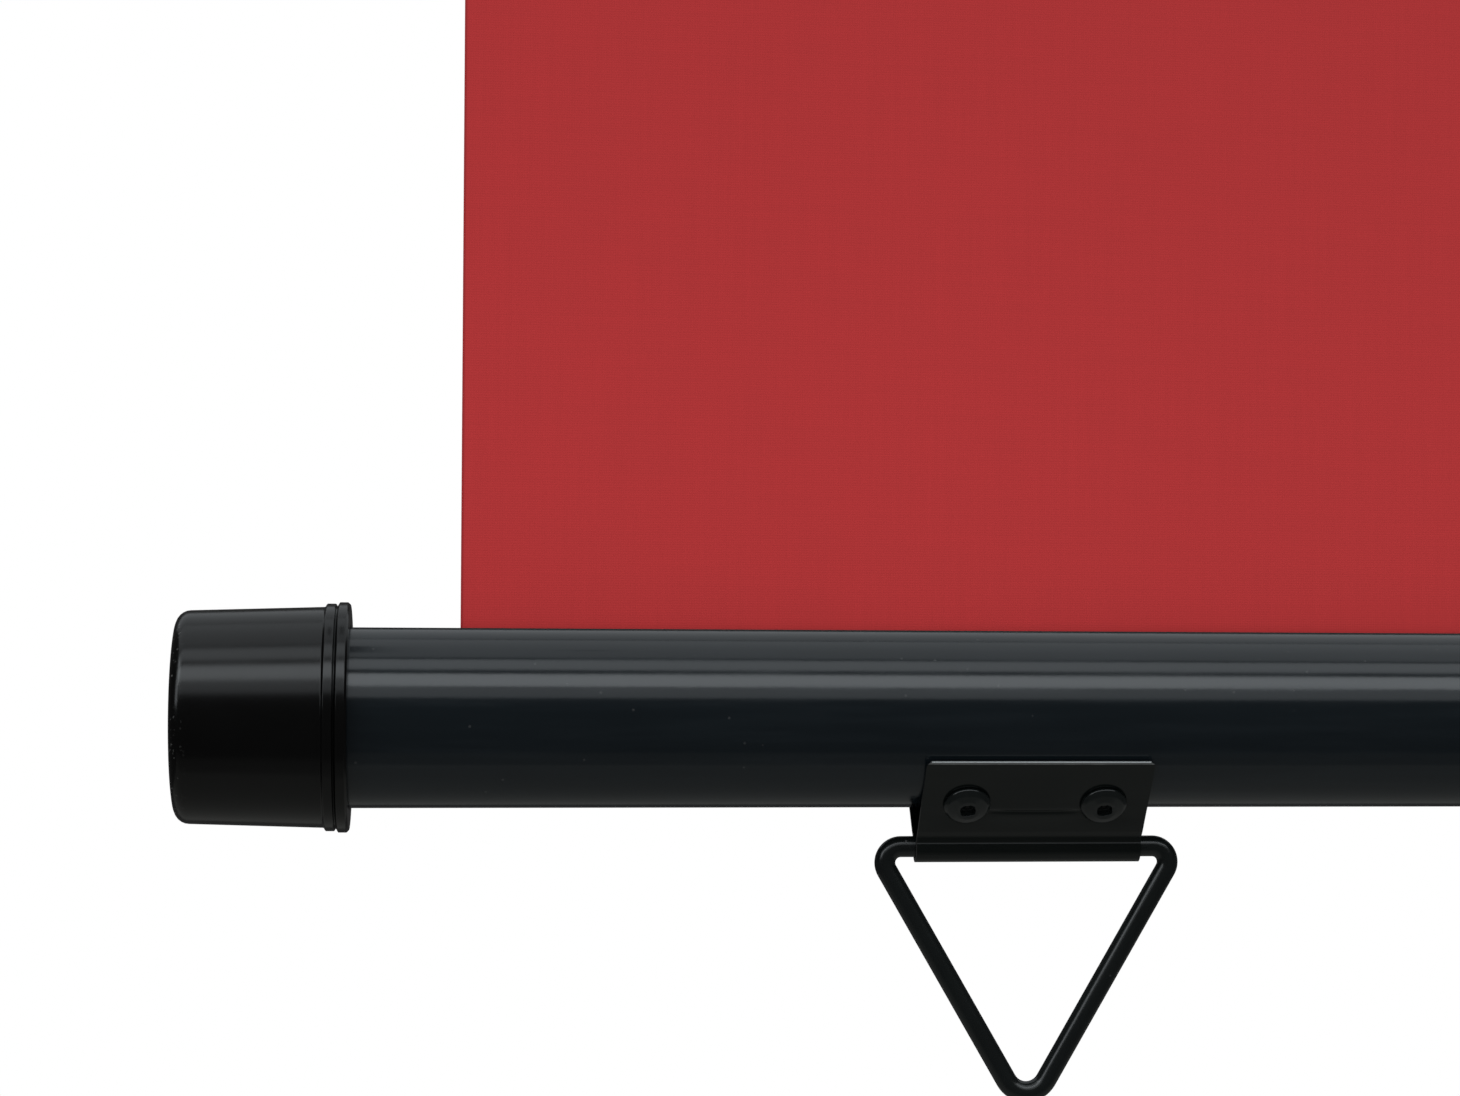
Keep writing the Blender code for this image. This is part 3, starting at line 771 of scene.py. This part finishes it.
# ---- Bottom bar ----
@dataclass
class BottomBar:
    """Round tube with a slot on top for the hem rod, and a moulded cup on each end."""

    radius: float = 0.0190
    wall: float = 0.0014
    slot_half: float = 0.0019
    cap_length: float = 0.0358
    cap_face: float = 0.02215
    cap_root: float = 0.0231
    cap_bore: float = 0.0193
    bore_depth: float = 0.0300
    collar: float = 0.0241
    edge_round: float = 0.0030
    arc_points: int = 181
    rings: int = 25
    cap_sides: int = 144
    rod_sides: int = 32
    axis: Array = field(default_factory=lambda: np.zeros(2))

    def __post_init__(self) -> None:
        """Finds the tube's axis from the CAD tube."""
        low, high = box_of("bar_tube")
        self.axis = np.array([(low[1] + high[1]) / 2, low[2] + self.radius])

    def tube(self) -> Piece:
        """The tube: an arc that runs from one slot lip round to the other, given its wall.

        Returns:
            The tube, its lips rounded.
        """
        low, high = box_of("bar_tube")
        lip = math.degrees(math.asin((self.slot_half + self.wall / 2) / self.radius))
        turn = np.radians(np.linspace(90 + lip, 450 - lip, self.arc_points))
        path = self.axis + (self.radius - self.wall / 2) * np.stack([np.cos(turn), np.sin(turn)], -1)
        loop = thicken(path, self.wall, nose=6)
        stations = np.linspace(low[0], high[0], self.rings)
        piece = loft("bar_tube_skin", along_x(loop, stations), Ends.LADDER)
        return fit_out(piece, TUBE_COAT, "bar_body", "bar_tube")

    def cap(self, side: str) -> Piece:
        """An end cup: face with a ring groove, drafted side, two-step collar, open bore.

        Args:
            side: "l" or "r".

        Returns:
            The cup.
        """
        low, high = box_of("bar_cap_" + side)
        sign = SIDES[side]
        end = high[0] if sign > 0 else low[0]
        mouth, bore = self.cap_length, self.cap_bore
        step = self.collar - 0.0003
        corners = [
            (0.0006, 0.0003, 0.0), (0.0006, 0.0016, 0.0002), (0.0, 0.0021, 0.0004), (0.0, 0.0150, 0.0004),
            (0.0006, 0.0155, 0.0002), (0.0006, 0.0163, 0.0002), (0.0, 0.0168, 0.0004),
            (0.0001, self.cap_face, self.edge_round), (mouth - 0.0052, self.cap_root, 0.0004),
            (mouth - 0.0048, step, 0.0003), (mouth - 0.0030, step, 0.0003),
            (mouth - 0.0027, self.collar - 0.0009, 0.0001), (mouth - 0.0022, self.collar, 0.0002),
            (mouth - 0.0005, self.collar, 0.0003), (mouth, self.collar - 0.0005, 0.0002),
            (mouth, bore + 0.0004, 0.0002), (mouth - 0.0005, bore, 0.0003),
            (mouth - self.bore_depth, bore, 0.0006), (mouth - self.bore_depth, 0.0003, 0.0),
        ]
        piece = turn_shape("bar_cap_skin_" + side, corners, (end, *self.axis), (-sign, 0, 0),
                           self.cap_sides)
        return fit_out(piece, CAP_PLASTIC, "bar_body", "bar_cap_" + side)

    def hem_rod(self) -> Piece:
        """The plastic rod inside the hem, with chamfered ends.

        Returns:
            The rod.
        """
        low, high = box_of("keder_rod")
        radius = (high[2] - low[2]) / 2
        reach = high[0] - low[0]
        centre = (low[0], *((low + high) / 2)[1:])
        corners = [(0.0, 0.0003, 0.0), (0.0, radius - 0.0004, 0.0001), (0.0004, radius, 0.0002),
                   (reach - 0.0004, radius, 0.0002), (reach, radius - 0.0004, 0.0001), (reach, 0.0003, 0.0)]
        piece = turn_shape("hem_rod", corners, centre, (1, 0, 0), self.rod_sides)
        return fit_out(piece, KEDER_PLASTIC, "bar_body", "keder_rod")

    def build(self) -> None:
        """Builds the bar, its caps and its rod."""
        self.tube()
        for side in SIDES:
            self.cap(side)
        self.hem_rod()


# ---- Pull handles ----
@dataclass(frozen=True)
class Dent:
    """A bell over a plate: depth * exp(-|(x - side) / wide|^power - ((z - level) / tall)^2)."""

    side: float
    level: float
    wide: float
    tall: float
    depth: float
    power: int = 2

    def at(self, x: Array, z: Array) -> Array:
        """The bell's height, outwards, at distances x from the middle and heights z."""
        across = np.abs((x - self.side) / self.wide) ** self.power
        return self.depth * np.exp(-across - ((z - self.level) / self.tall) ** 2)


@dataclass
class PullHandle:
    """A wire triangle that hangs in the knuckle of a folded plate, which four rivets hold to the bar."""

    side: str
    axis: Array
    tube_radius: float = 0.0190
    gap: float = 0.0003
    sheet: float = 0.0008
    width: float = 0.0486
    lean: float = math.radians(43.0)
    top: float = -0.0090
    bend: float = -0.0238
    pivot: float = -0.0274
    knuckle: float = 0.00255
    wire_radius: float = 0.00225
    triangle: float = 0.0665
    top_bend: float = 0.0034
    tip_bend: float = 0.0050
    rivet_level: float = -0.0180
    rivet_pitch: float = 0.0293
    rivet_head: float = 0.0051
    corner: float = 0.0010
    pressed: tuple[Dent, ...] = (Dent(0.01465, -0.0180, 0.00594, 0.00434, -0.00030),
                                 Dent(0.0185, -0.0215, 0.0050, 0.0016, -0.00024))
    bulge: Dent = Dent(0.0, 0.0, 0.0100, math.inf, 0.00020, 4)
    bulge_from: float = -0.0120
    bulge_run: float = 0.0070
    crease: Dent = Dent(0.0, -0.0196, 0.0100, 0.00042, -0.00036, 6)
    stiff_low: float = 0.0046
    stiff_top: float = 0.0030
    bend_round: float = 0.0007
    neck: float = 0.0024
    neck_round: float = 0.0005
    path_pitch: float = 0.00025
    rings: int = 97
    wire_pitch: float = 0.0035
    wire_sides: int = 28
    socket: tuple[float, int, float] = (0.00175, 4, 0.07)
    middle: float = 0.0

    def __post_init__(self) -> None:
        """Finds the middle of the handle from the CAD handle."""
        low, high = box_of("pull_handle_" + self.side)
        self.middle = float(low[0] + high[0]) / 2

    def on_plate(self, level: float, inset: float) -> Array:
        """A point of the front leg at a height, from the bar's axis.

        Args:
            level: height from the axis.
            inset: depth below the leg's outer face.

        Returns:
            (y, z).
        """
        reach = self.tube_radius + self.gap + self.sheet - inset
        base = -reach * np.array([math.cos(self.lean), math.sin(self.lean)])
        down = np.array([math.sin(self.lean), -math.cos(self.lean)])
        return base + down * (level - base[1]) / down[1]

    def plate(self) -> Piece:
        """The folded plate: leg, bend, neck and knuckle as one strip, then its dents.

        The strip's top corners are quarter circles. Each leg moves along its own normal by a sum
        of bells: in at each rivet and in the lower corners, out between the rivets, which all fade
        by 3 f^2 - 2 f^3 towards the bend and the top edge, and in along a short crease.

        Returns:
            The plate.
        """
        half_t = self.sheet / 2
        ring = self.knuckle + half_t
        turn = np.radians(np.linspace(162, 270, 19))
        arc = np.stack([ring * np.cos(turn), self.pivot + ring * np.sin(turn)], -1)
        start = self.on_plate(self.top, half_t)
        bend = self.on_plate(self.bend, half_t)
        leg = rounded([(*start, 0.0), (*bend, self.bend_round),
                       (-ring - 0.0004, self.pivot + self.neck, self.neck_round), (*arc[0], 0.0)],
                      closed=False, steps=7)
        half_path = np.vstack([dense(leg, self.path_pitch)[:-1], arc])
        path = np.vstack([half_path, (half_path * [-1, 1])[::-1][1:]])
        loop = thicken(path, self.sheet, nose=8)
        stations = self.middle + np.linspace(-self.width / 2, self.width / 2, self.rings)
        points = along_x(loop, stations)
        x, y, z = points[..., 0], points[..., 1], points[..., 2]
        from_top = np.clip(self.top - z, 0.0, self.corner)
        cut = self.corner - np.sqrt(np.maximum(0.0, self.corner ** 2 - (self.corner - from_top) ** 2))
        across = (x - self.middle) * (1.0 - cut / (self.width / 2))
        side = np.abs(across)
        bell = sum(dent.at(side, z) for dent in self.pressed)
        bell += self.bulge.at(side, z) * np.clip((self.bulge_from - z) / self.bulge_run, 0, 1)
        fade = np.clip((z - self.bend) / self.stiff_low, 0, 1)
        fade = fade * np.clip((self.top - z) / self.stiff_top, 0, 1)
        bell = bell * fade * fade * (3 - 2 * fade) + self.crease.at(side, z)
        y = y + np.sign(y) * bell * math.cos(self.lean)
        z = z - bell * math.sin(self.lean)
        points = np.stack([self.middle + across, y + self.axis[0], z + self.axis[1]], -1)
        piece = loft("handle_plate_" + self.side, points, Ends.LADDER, flat=50)
        return fit_out(piece, PLATE_COAT, "bar_body", "handle_bracket_" + self.side)

    def rivets(self) -> None:
        """Four blind rivets: a low dome with a lobed hole, and the broken pin inside it."""
        head = self.rivet_head
        foot = self.on_plate(self.rivet_level, 0.0)
        dome = [
            (-0.0078, 0.0003, 0.0), (-0.0078, 0.0018, 0.0003), (-0.0074, 0.0022, 0.0003),
            (0.0, 0.0022, 0.0001), (0.0, head - 0.0002, 0.0001), (0.0006, head, 0.0006),
            (0.0015, head * 0.80, 0.0014), (0.0020, 0.0025, 0.0006), (0.0020, 0.0017, 0.0002),
            (0.0003, 0.0015, 0.0002), (0.0003, 0.0003, 0.0),
        ]
        pin = [(0.0001, 0.0002, 0.0), (0.0001, 0.0006, 0.0001),
               (0.0008, 0.0006, 0.0002), (0.0009, 0.0002, 0.0)]
        number = 0
        for face in (-1, 1):
            normal = (0.0, face * math.cos(self.lean), -math.sin(self.lean))
            for step in (-0.5, 0.5):
                number += 1
                spot = (self.middle + step * self.rivet_pitch, self.axis[0] - face * foot[0],
                        self.axis[1] + foot[1])
                label = f"{self.side}{number}"
                piece = turn_shape("rivet_dome_" + label, dome, spot, normal, 64, self.socket)
                fit_out(piece, RIVET_COAT, "bar_body", "rivet_" + label)
                stub = turn_shape("rivet_pin_" + label, pin, spot, normal, 20)
                fit_out(stub, DARKENED_PIN, "bar_body")

    def wire(self) -> Piece:
        """The wire triangle, point down, its top side in the knuckle.

        Returns:
            The handle.
        """
        half = self.triangle / 2
        tip = self.pivot - self.triangle * math.sqrt(3) / 2
        corners = [(-half, self.pivot, self.top_bend), (0.0, tip, self.tip_bend),
                   (half, self.pivot, self.top_bend)]
        flat = dense(rounded(corners, closed=True, steps=17), self.wire_pitch, closed=True)
        path = np.insert(flat + [self.middle, self.axis[1]], 1, self.axis[0], axis=1)
        piece = wire("pull_wire_" + self.side, path, self.wire_radius, self.wire_sides)
        piece.visible_glossy = False
        return fit_out(piece, WIRE_COAT, f"handle_{self.side}_body", "pull_handle_" + self.side)

    def build(self) -> None:
        """Builds the plate, its rivets and the wire."""
        self.plate()
        self.rivets()
        self.wire()


# ---- Cloth ----
@dataclass
class AwningSheet:
    """The cloth: the flat hanging part, and the part still wound on the roller."""

    thick: float = 0.0005
    wound: float = 0.00042
    ripple: float = 0.00018
    waves: tuple[float, float] = (41.0, 17.0)
    grid: tuple[int, int] = (121, 61)
    inner: float = 0.0143
    outer: float = 0.0223
    turn_points: int = 44

    def lay_threads(self, piece: Piece, places: Array) -> None:
        """Gives a piece the UV map that its weave follows.

        Args:
            piece: the cloth.
            places: (vertices, 2) place of each vertex on the flat cloth, in metres.
        """
        mesh = piece.data
        owner = np.zeros(len(mesh.loops), np.int32)
        mesh.loops.foreach_get("vertex_index", owner)
        layer = mesh.uv_layers.new(name="Cloth")
        layer.data.foreach_set("uv", places[owner].astype(np.float32).ravel())

    def hanging(self) -> Piece:
        """The flat part: y is ripple times a fine and a coarse sine over x, and sin(pi z) over its height.

        Half the thickness lies to each side.

        Returns:
            The sheet, between the cassette and the bar.
        """
        low, high = box_of("cloth_sheet")
        plane = (low[1] + high[1]) / 2
        half = high[0]
        x = np.linspace(-half, half, self.grid[0])
        z = np.linspace(low[2], high[2], self.grid[1])
        grid_x, grid_z = np.meshgrid(np.concatenate([x, x[::-1]]), z)
        share = (grid_z - low[2]) / (high[2] - low[2])
        fine, coarse = self.waves
        wave = np.sin(grid_x * fine + 0.6) * np.sin(grid_x * coarse + share * 2.0) * np.sin(np.pi * share)
        side = np.where(np.arange(2 * len(x)) < len(x), -0.5, 0.5) * self.thick
        loops = np.stack([grid_x, plane + self.ripple * wave + side[None, :], grid_z], -1)
        piece = loft("awning_sheet", loops, Ends.LADDER)
        self.lay_threads(piece, np.stack([grid_x, grid_z], -1).reshape(-1, 2))
        fit_out(piece, RED_CLOTH, None, "cloth_sheet")
        piece.visible_glossy = False
        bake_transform(piece)
        return piece

    def rolled(self) -> Piece:
        """The wound part: a spiral of radius outer - pitch * turns, given the cloth's thickness.

        Returns:
            The roll.
        """
        low, high = box_of("roller_tube")
        axis = (low[1:] + high[1:]) / 2
        cloth_low, cloth_high = box_of("cloth_sheet")
        turns = (self.outer - self.inner) / self.thick - 0.5
        angle = np.linspace(0.0, 2 * np.pi * turns, int(turns * self.turn_points))
        radius = self.outer - self.thick / 2 - self.thick * angle / (2 * np.pi)
        path = axis + radius[:, None] * np.stack([-np.cos(angle), np.sin(angle)], -1)
        run = np.concatenate([[0.0], np.cumsum(np.linalg.norm(np.diff(path, axis=0), axis=1))])
        loop = thicken(path, self.wound, nose=0)
        stations = np.linspace(cloth_low[0], cloth_high[0], 5)
        points = along_x(loop, stations)
        piece = loft("awning_roll", points, Ends.LADDER)
        piece.visible_glossy = False
        length = np.broadcast_to(np.concatenate([run, run[::-1]]), points.shape[:2])
        self.lay_threads(piece, np.stack([points[..., 0], length], -1).reshape(-1, 2))
        fit_out(piece, RED_CLOTH, "roller_body", "cloth_roll")
        return piece

    def build(self) -> None:
        """Builds both parts of the cloth."""
        self.hanging()
        self.rolled()


# ---- Cassette ----
@dataclass
class Cassette:
    """Wall box for the roller: extruded shell, moulded ends, screws and two folded wall brackets."""

    wall: float = 0.0016
    slot_half: float = 0.0032
    cheek: float = 0.0060
    plug: float = 0.0070
    clear: float = 0.0003
    rounds: tuple[float, float, float, float] = (0.0070, 0.0060, 0.0050, 0.0200)
    line_level: float = 0.0190
    line_depth: float = 0.0008
    rings: int = 13
    rim: float = -0.0006
    rim_round: float = 0.0014
    panel: tuple[tuple[float, float, float], ...] = (
        (0.0, 0.0130, 0.0060), (0.0003, 0.0132, 0.0058), (0.0009, 0.0136, 0.0054),
        (0.0010, 0.0142, 0.0048), (0.0010, 0.0220, 0.0030), (0.0005, 0.0226, 0.0026),
        (0.0005, 0.0290, 0.0008))
    low: Array = field(default_factory=lambda: np.zeros(3))
    high: Array = field(default_factory=lambda: np.zeros(3))

    def __post_init__(self) -> None:
        """Takes the shell's corners from the CAD shell."""
        self.low, self.high = box_of("cassette_housing")

    def outline(self, inset: float, bends: Optional[float] = None) -> Array:
        """The box's section moved in by an inset, from the front bottom corner round the back.

        Args:
            inset: how far inwards, in metres; negative is outwards.
            bends: one radius for all corners, or None for the shell's own.

        Returns:
            (44, 2) closed loop of (y, z).
        """
        front, back = self.low[1] + inset, self.high[1] - inset
        floor, roof = self.low[2] + inset, self.high[2] - inset
        radii = [max(r - inset, 0.0009) for r in self.rounds] if bends is None else [bends] * 4
        places = [(front, floor), (back, floor), (back, roof), (front, roof)]
        return rounded([(*place, radius) for place, radius in zip(places, radii)], closed=True, steps=11)

    def shell(self) -> Piece:
        """The shell: a strip that starts and ends at the slot, with a pressed line along its front.

        Returns:
            The shell.
        """
        mid = self.wall / 2
        front, back = self.low[1] + mid, self.high[1] - mid
        floor, roof = self.low[2] + mid, self.high[2] - mid
        slot = float(box_of("cloth_sheet")[0][1] + box_of("cloth_sheet")[1][1]) / 2
        r = [radius - mid for radius in self.rounds]
        line = floor + self.line_level
        sunk = front + self.line_depth
        corners = [
            (slot + self.slot_half, floor, 0.0), (back, floor, r[1]), (back, roof, r[2]),
            (front, roof, r[3]),
            (front, line + 0.0014, 0.0004), (sunk, line + 0.0007, 0.0003),
            (sunk, line - 0.0007, 0.0003), (front, line - 0.0014, 0.0004),
            (front, floor, r[0]), (slot - self.slot_half, floor, 0.0),
        ]
        path = dense(rounded(corners, closed=False, steps=13), 0.006)
        loop = thicken(path, self.wall, nose=5)
        stations = np.linspace(self.low[0], self.high[0], self.rings)
        piece = loft("cassette_housing_skin", along_x(loop, stations), Ends.LADDER)
        piece.visible_glossy = False
        return fit_out(piece, BOX_COAT, "cassette_body", "cassette_housing")

    def end(self, side: str) -> Piece:
        """A moulded end: plug in the shell, rim, rounded edge, face with a sunk panel.

        Args:
            side: "l" or "r".

        Returns:
            The end.
        """
        low, high = box_of("cassette_cheek_" + side)
        sign = SIDES[side]
        outside = high[0] if sign > 0 else low[0]
        inside = self.wall + self.clear
        rows = [(self.cheek + self.plug, self.outline(inside + 0.0006)),
                (self.cheek + self.plug - 0.0006, self.outline(inside)),
                (self.cheek, self.outline(inside)), (self.cheek, self.outline(-0.0002)),
                (self.cheek - 0.0004, self.outline(self.rim))]
        turn = self.rim_round
        rows += [(turn * (1 - math.sin(t)), self.outline(self.rim + turn * (1 - math.cos(t))))
                 for t in np.radians(np.linspace(0, 90, 6))]
        rows += [(depth, self.outline(inset, bends)) for depth, inset, bends in self.panel]
        loops = np.stack([np.column_stack([np.full(len(o), outside - sign * x), o]) for x, o in rows])
        piece = loft("cassette_end_" + side, loops, Ends.FAN)
        return fit_out(piece, CHEEK_PLASTIC, "cassette_body", "cassette_cheek_" + side)

    def screws(self) -> None:
        """Pan head screws with lobed sockets, on the axes of the CAD screws."""
        head = [
            (-0.0110, 0.0003, 0.0), (-0.0110, 0.0008, 0.0001), (-0.0095, 0.0015, 0.0003),
            (0.0001, 0.0015, 0.0001), (0.0001, 0.0030, 0.0001), (0.0008, 0.0031, 0.0003),
            (0.0019, 0.0023, 0.0007), (0.0022, 0.0015, 0.0002), (0.0013, 0.0012, 0.0001),
            (0.0012, 0.0003, 0.0),
        ]
        for side, sign in SIDES.items():
            for number in (1, 2):
                low, high = box_of(f"cheek_screw_{side}{number}")
                spot = (low + high) / 2
                spot[0] = box_of("cassette_cheek_" + side)[sign > 0][0]
                label = f"{side}{number}"
                piece = turn_shape("end_screw_" + label, head, spot, (sign, 0, 0), 48, (0.0016, 6, 0.08))
                fit_out(piece, ZINC, "cassette_body", "cheek_screw_" + label)
            low, high = box_of("bracket_screw_" + side)
            arm = box_of("wall_bracket_" + side)[1][2]
            spot = ((low[0] + high[0]) / 2, (low[1] + high[1]) / 2, arm)
            foot = low[2] - arm
            pan = [
                (foot, 0.0003, 0.0), (foot, 0.0021, 0.0002), (foot + 0.0004, 0.0025, 0.0002),
                (0.0001, 0.0025, 0.0001), (0.0001, 0.0046, 0.0001), (0.0006, 0.0048, 0.0003),
                (0.0020, 0.0041, 0.0009), (0.0027, 0.0026, 0.0003), (0.0026, 0.0020, 0.0001),
                (0.0011, 0.0018, 0.0001), (0.0011, 0.0003, 0.0),
            ]
            piece = turn_shape("bracket_bolt_" + side, pan, spot, (0, 0, 1), 60, (0.00215, 6, 0.07))
            fit_out(piece, ZINC, "cassette_body", "bracket_screw_" + side)

    def build(self) -> None:
        """Builds the shell, ends and screws, and dresses the wall brackets."""
        self.shell()
        for side in SIDES:
            self.end(side)
        self.screws()
        redress(HANGER_COAT, "wall_bracket_l", "wall_bracket_r")


@dataclass
class SpringDrive:
    """The parts inside the roller, whose CAD shapes are kept."""

    steel: tuple[str, ...] = ("spindle_l", "idle_pin_r")
    plastic: tuple[str, ...] = ("roller_plug_l", "roller_plug_r", "spring_anchor")

    def build(self) -> None:
        """Dresses the roller tube, plugs, shafts, anchor and spring."""
        redress(TUBE_ZINC, "roller_tube")
        redress(DRAWN, *self.steel)
        redress(PLUG_PLASTIC, *self.plastic)
        redress(SPRING, "torsion_spring")


# ---- Studio ----
COOL: Color = (0.90, 0.96, 1.0)
GREENISH: Color = (0.97, 1.0, 0.94)
NEUTRAL: Color = (1.0, 1.0, 1.0)


@dataclass(frozen=True)
class SoftBox:
    """A rectangular soft light aimed at the bar.

    Bearing is measured from straight in front, rise from level; radiance is what a mirror shows.
    A box that isn't mirrored only lights, and one that doesn't light is only mirrored.
    """

    name: str
    bearing: float
    rise: float
    distance: float
    width: float
    height: float
    radiance: float
    mirrored: bool = True
    lights: bool = True
    tint: Color = COOL

    def place(self, target: Array) -> None:
        """Hangs the light.

        Args:
            target: the point that it faces.
        """
        light = bpy.data.lights.new(self.name, "AREA")
        light.shape = "RECTANGLE"
        light.size, light.size_y = self.width, self.height
        light.energy = self.radiance * math.pi * self.width * self.height
        light.color = self.tint
        lamp = bpy.data.objects.new(self.name, light)
        bearing, rise = math.radians(self.bearing), math.radians(self.rise)
        away = Vector((math.sin(bearing) * math.cos(rise), -math.cos(bearing) * math.cos(rise),
                       math.sin(rise)))
        lamp.location = Vector(target) + away * self.distance
        side = Vector((math.cos(bearing), math.sin(bearing), 0.0))
        up = away.cross(side)
        lamp.rotation_euler = Matrix((side, up, away)).transposed().to_euler()
        lamp.visible_camera = False
        lamp.visible_glossy = self.mirrored
        lamp.visible_diffuse = self.lights
        bpy.context.scene.collection.objects.link(lamp)


@dataclass
class Studio:
    """Camera, soft lights, pale floor and white surround."""

    sensor: float = 36.0
    focal: float = 3322.0
    frame_width: float = 1460.0
    shift: tuple[float, float] = (-0.1199, 0.0274)
    position: tuple[float, float, float] = (-0.23785, -0.76001, -0.28885)
    yaw: float = 7.526
    pitch: float = 1.407
    roll: float = 0.229
    ambient: float = 0.50
    mirror_ambient: float = 0.045
    floor_level: float = -2.20
    floor_radius: float = 5.0
    floor_thick: float = 0.02
    floor_sides: int = 96

    def camera(self) -> None:
        """Places the camera: right, up and back axes from yaw, pitch and roll."""
        yaw, pitch, roll = (math.radians(a) for a in (self.yaw, self.pitch, self.roll))
        ahead = Vector((math.sin(yaw) * math.cos(pitch), math.cos(yaw) * math.cos(pitch), math.sin(pitch)))
        right = Vector((math.cos(yaw), -math.sin(yaw), 0.0))
        up = right.cross(ahead)
        turned = right * math.cos(roll) + up * math.sin(roll)
        upright = up * math.cos(roll) - right * math.sin(roll)
        lens = bpy.data.cameras.new("camera")
        lens.sensor_width = self.sensor
        lens.lens = self.sensor * self.focal / self.frame_width
        lens.shift_x, lens.shift_y = self.shift
        lens.clip_start, lens.clip_end = 0.01, 60.0
        view = bpy.data.objects.new("camera", lens)
        spin = Matrix((turned, upright, -ahead)).transposed().to_4x4()
        view.matrix_world = Matrix.Translation(self.position) @ spin
        bpy.context.scene.collection.objects.link(view)
        bpy.context.scene.camera = view

    def floor(self) -> None:
        """A round pale floor, far below: rings of radius r at one level."""
        radius = np.array([0.001, 1.0, 2.5, 4.0, self.floor_radius])
        angle = np.linspace(0, 2 * np.pi, self.floor_sides, endpoint=False)
        top = np.stack([radius[:, None] * np.cos(angle), radius[:, None] * np.sin(angle),
                        np.full((len(radius), self.floor_sides), self.floor_level)], -1)
        low = top[::-1] - [0.0, 0.0, self.floor_thick]
        piece = loft("studio_floor", np.concatenate([top, low]), Ends.FAN)
        bench = Bench("pale floor")
        haze = bench.noise(bench.place(), 3.0)
        bench.set(Base_Color=bench.blend(haze, (0.70, 0.70, 0.69), (0.76, 0.76, 0.75)), Roughness=0.7)
        piece.data.materials.append(bench.material)
        piece.visible_glossy = False

    def surround(self) -> None:
        """White where it is looked at, dim where it lights or is mirrored."""
        world = bpy.data.worlds.new("studio")
        world.use_nodes = True
        world.cycles.sampling_method = "NONE"
        tree = world.node_tree
        tree.nodes.clear()
        output = tree.nodes.new("ShaderNodeOutputWorld")
        path = tree.nodes.new("ShaderNodeLightPath")
        layer = None
        for strength, kind in ((self.mirror_ambient, None), (self.ambient, "Is Diffuse Ray"),
                               (1.0, "Is Camera Ray")):
            glow = tree.nodes.new("ShaderNodeBackground")
            glow.inputs["Color"].default_value = (1.0, 1.0, 1.0, 1.0)
            glow.inputs["Strength"].default_value = strength
            if kind is not None:
                mix = tree.nodes.new("ShaderNodeMixShader")
                tree.links.new(path.outputs[kind], mix.inputs[0])
                tree.links.new(layer, mix.inputs[1])
                tree.links.new(glow.outputs[0], mix.inputs[2])
                glow = mix
            layer = glow.outputs[0]
        tree.links.new(layer, output.inputs["Surface"])
        bpy.context.scene.world = world
        bpy.context.scene.view_settings.view_transform = "Standard"

    def build(self, target: Array) -> None:
        """Sets up everything round the object.

        Args:
            target: the point that the lights face.
        """
        self.camera()
        self.floor()
        self.surround()
        for lamp in (
            SoftBox("key", 0.0, 49.0, 1.7, 3.2, 0.52, 2.7),
            SoftBox("key_skirt", 0.0, 32.3, 1.9, 3.2, 0.44, 0.85),
            SoftBox("overhead", 0.0, 71.5, 1.3, 2.6, 0.36, 1.45),
            SoftBox("ridge", 0.0, 100.2, 1.4, 2.6, 0.90, 0.70),
            SoftBox("behind_top", 0.0, 135.0, 1.5, 2.6, 0.84, 0.45),
            SoftBox("under", 0.0, -104.0, 1.0, 3.0, 1.80, 0.13, lights=False, tint=GREENISH),
            SoftBox("under_front", 0.0, -54.0, 1.2, 3.0, 0.42, 0.06, lights=False, tint=GREENISH),
            SoftBox("left_side", -60.0, 28.0, 1.6, 0.45, 1.1, 2.2),
            SoftBox("front_fill", 0.0, 0.0, 3.0, 4.0, 3.0, 0.60, mirrored=False, tint=NEUTRAL),
        ):
            lamp.place(target)


def main() -> None:
    """Builds the awning and its studio in order."""
    logging.basicConfig(level=logging.INFO, format="%(name)s %(message)s")
    bar = BottomBar()
    studio = Studio()
    studio.build(np.array([0.0, *bar.axis]))
    bar.build()
    for side in SIDES:
        PullHandle(side, bar.axis).build()
    Cassette().build()
    SpringDrive().build()
    AwningSheet().build()
    bpy.context.view_layer.update()


if __name__ == "__main__":
    main()
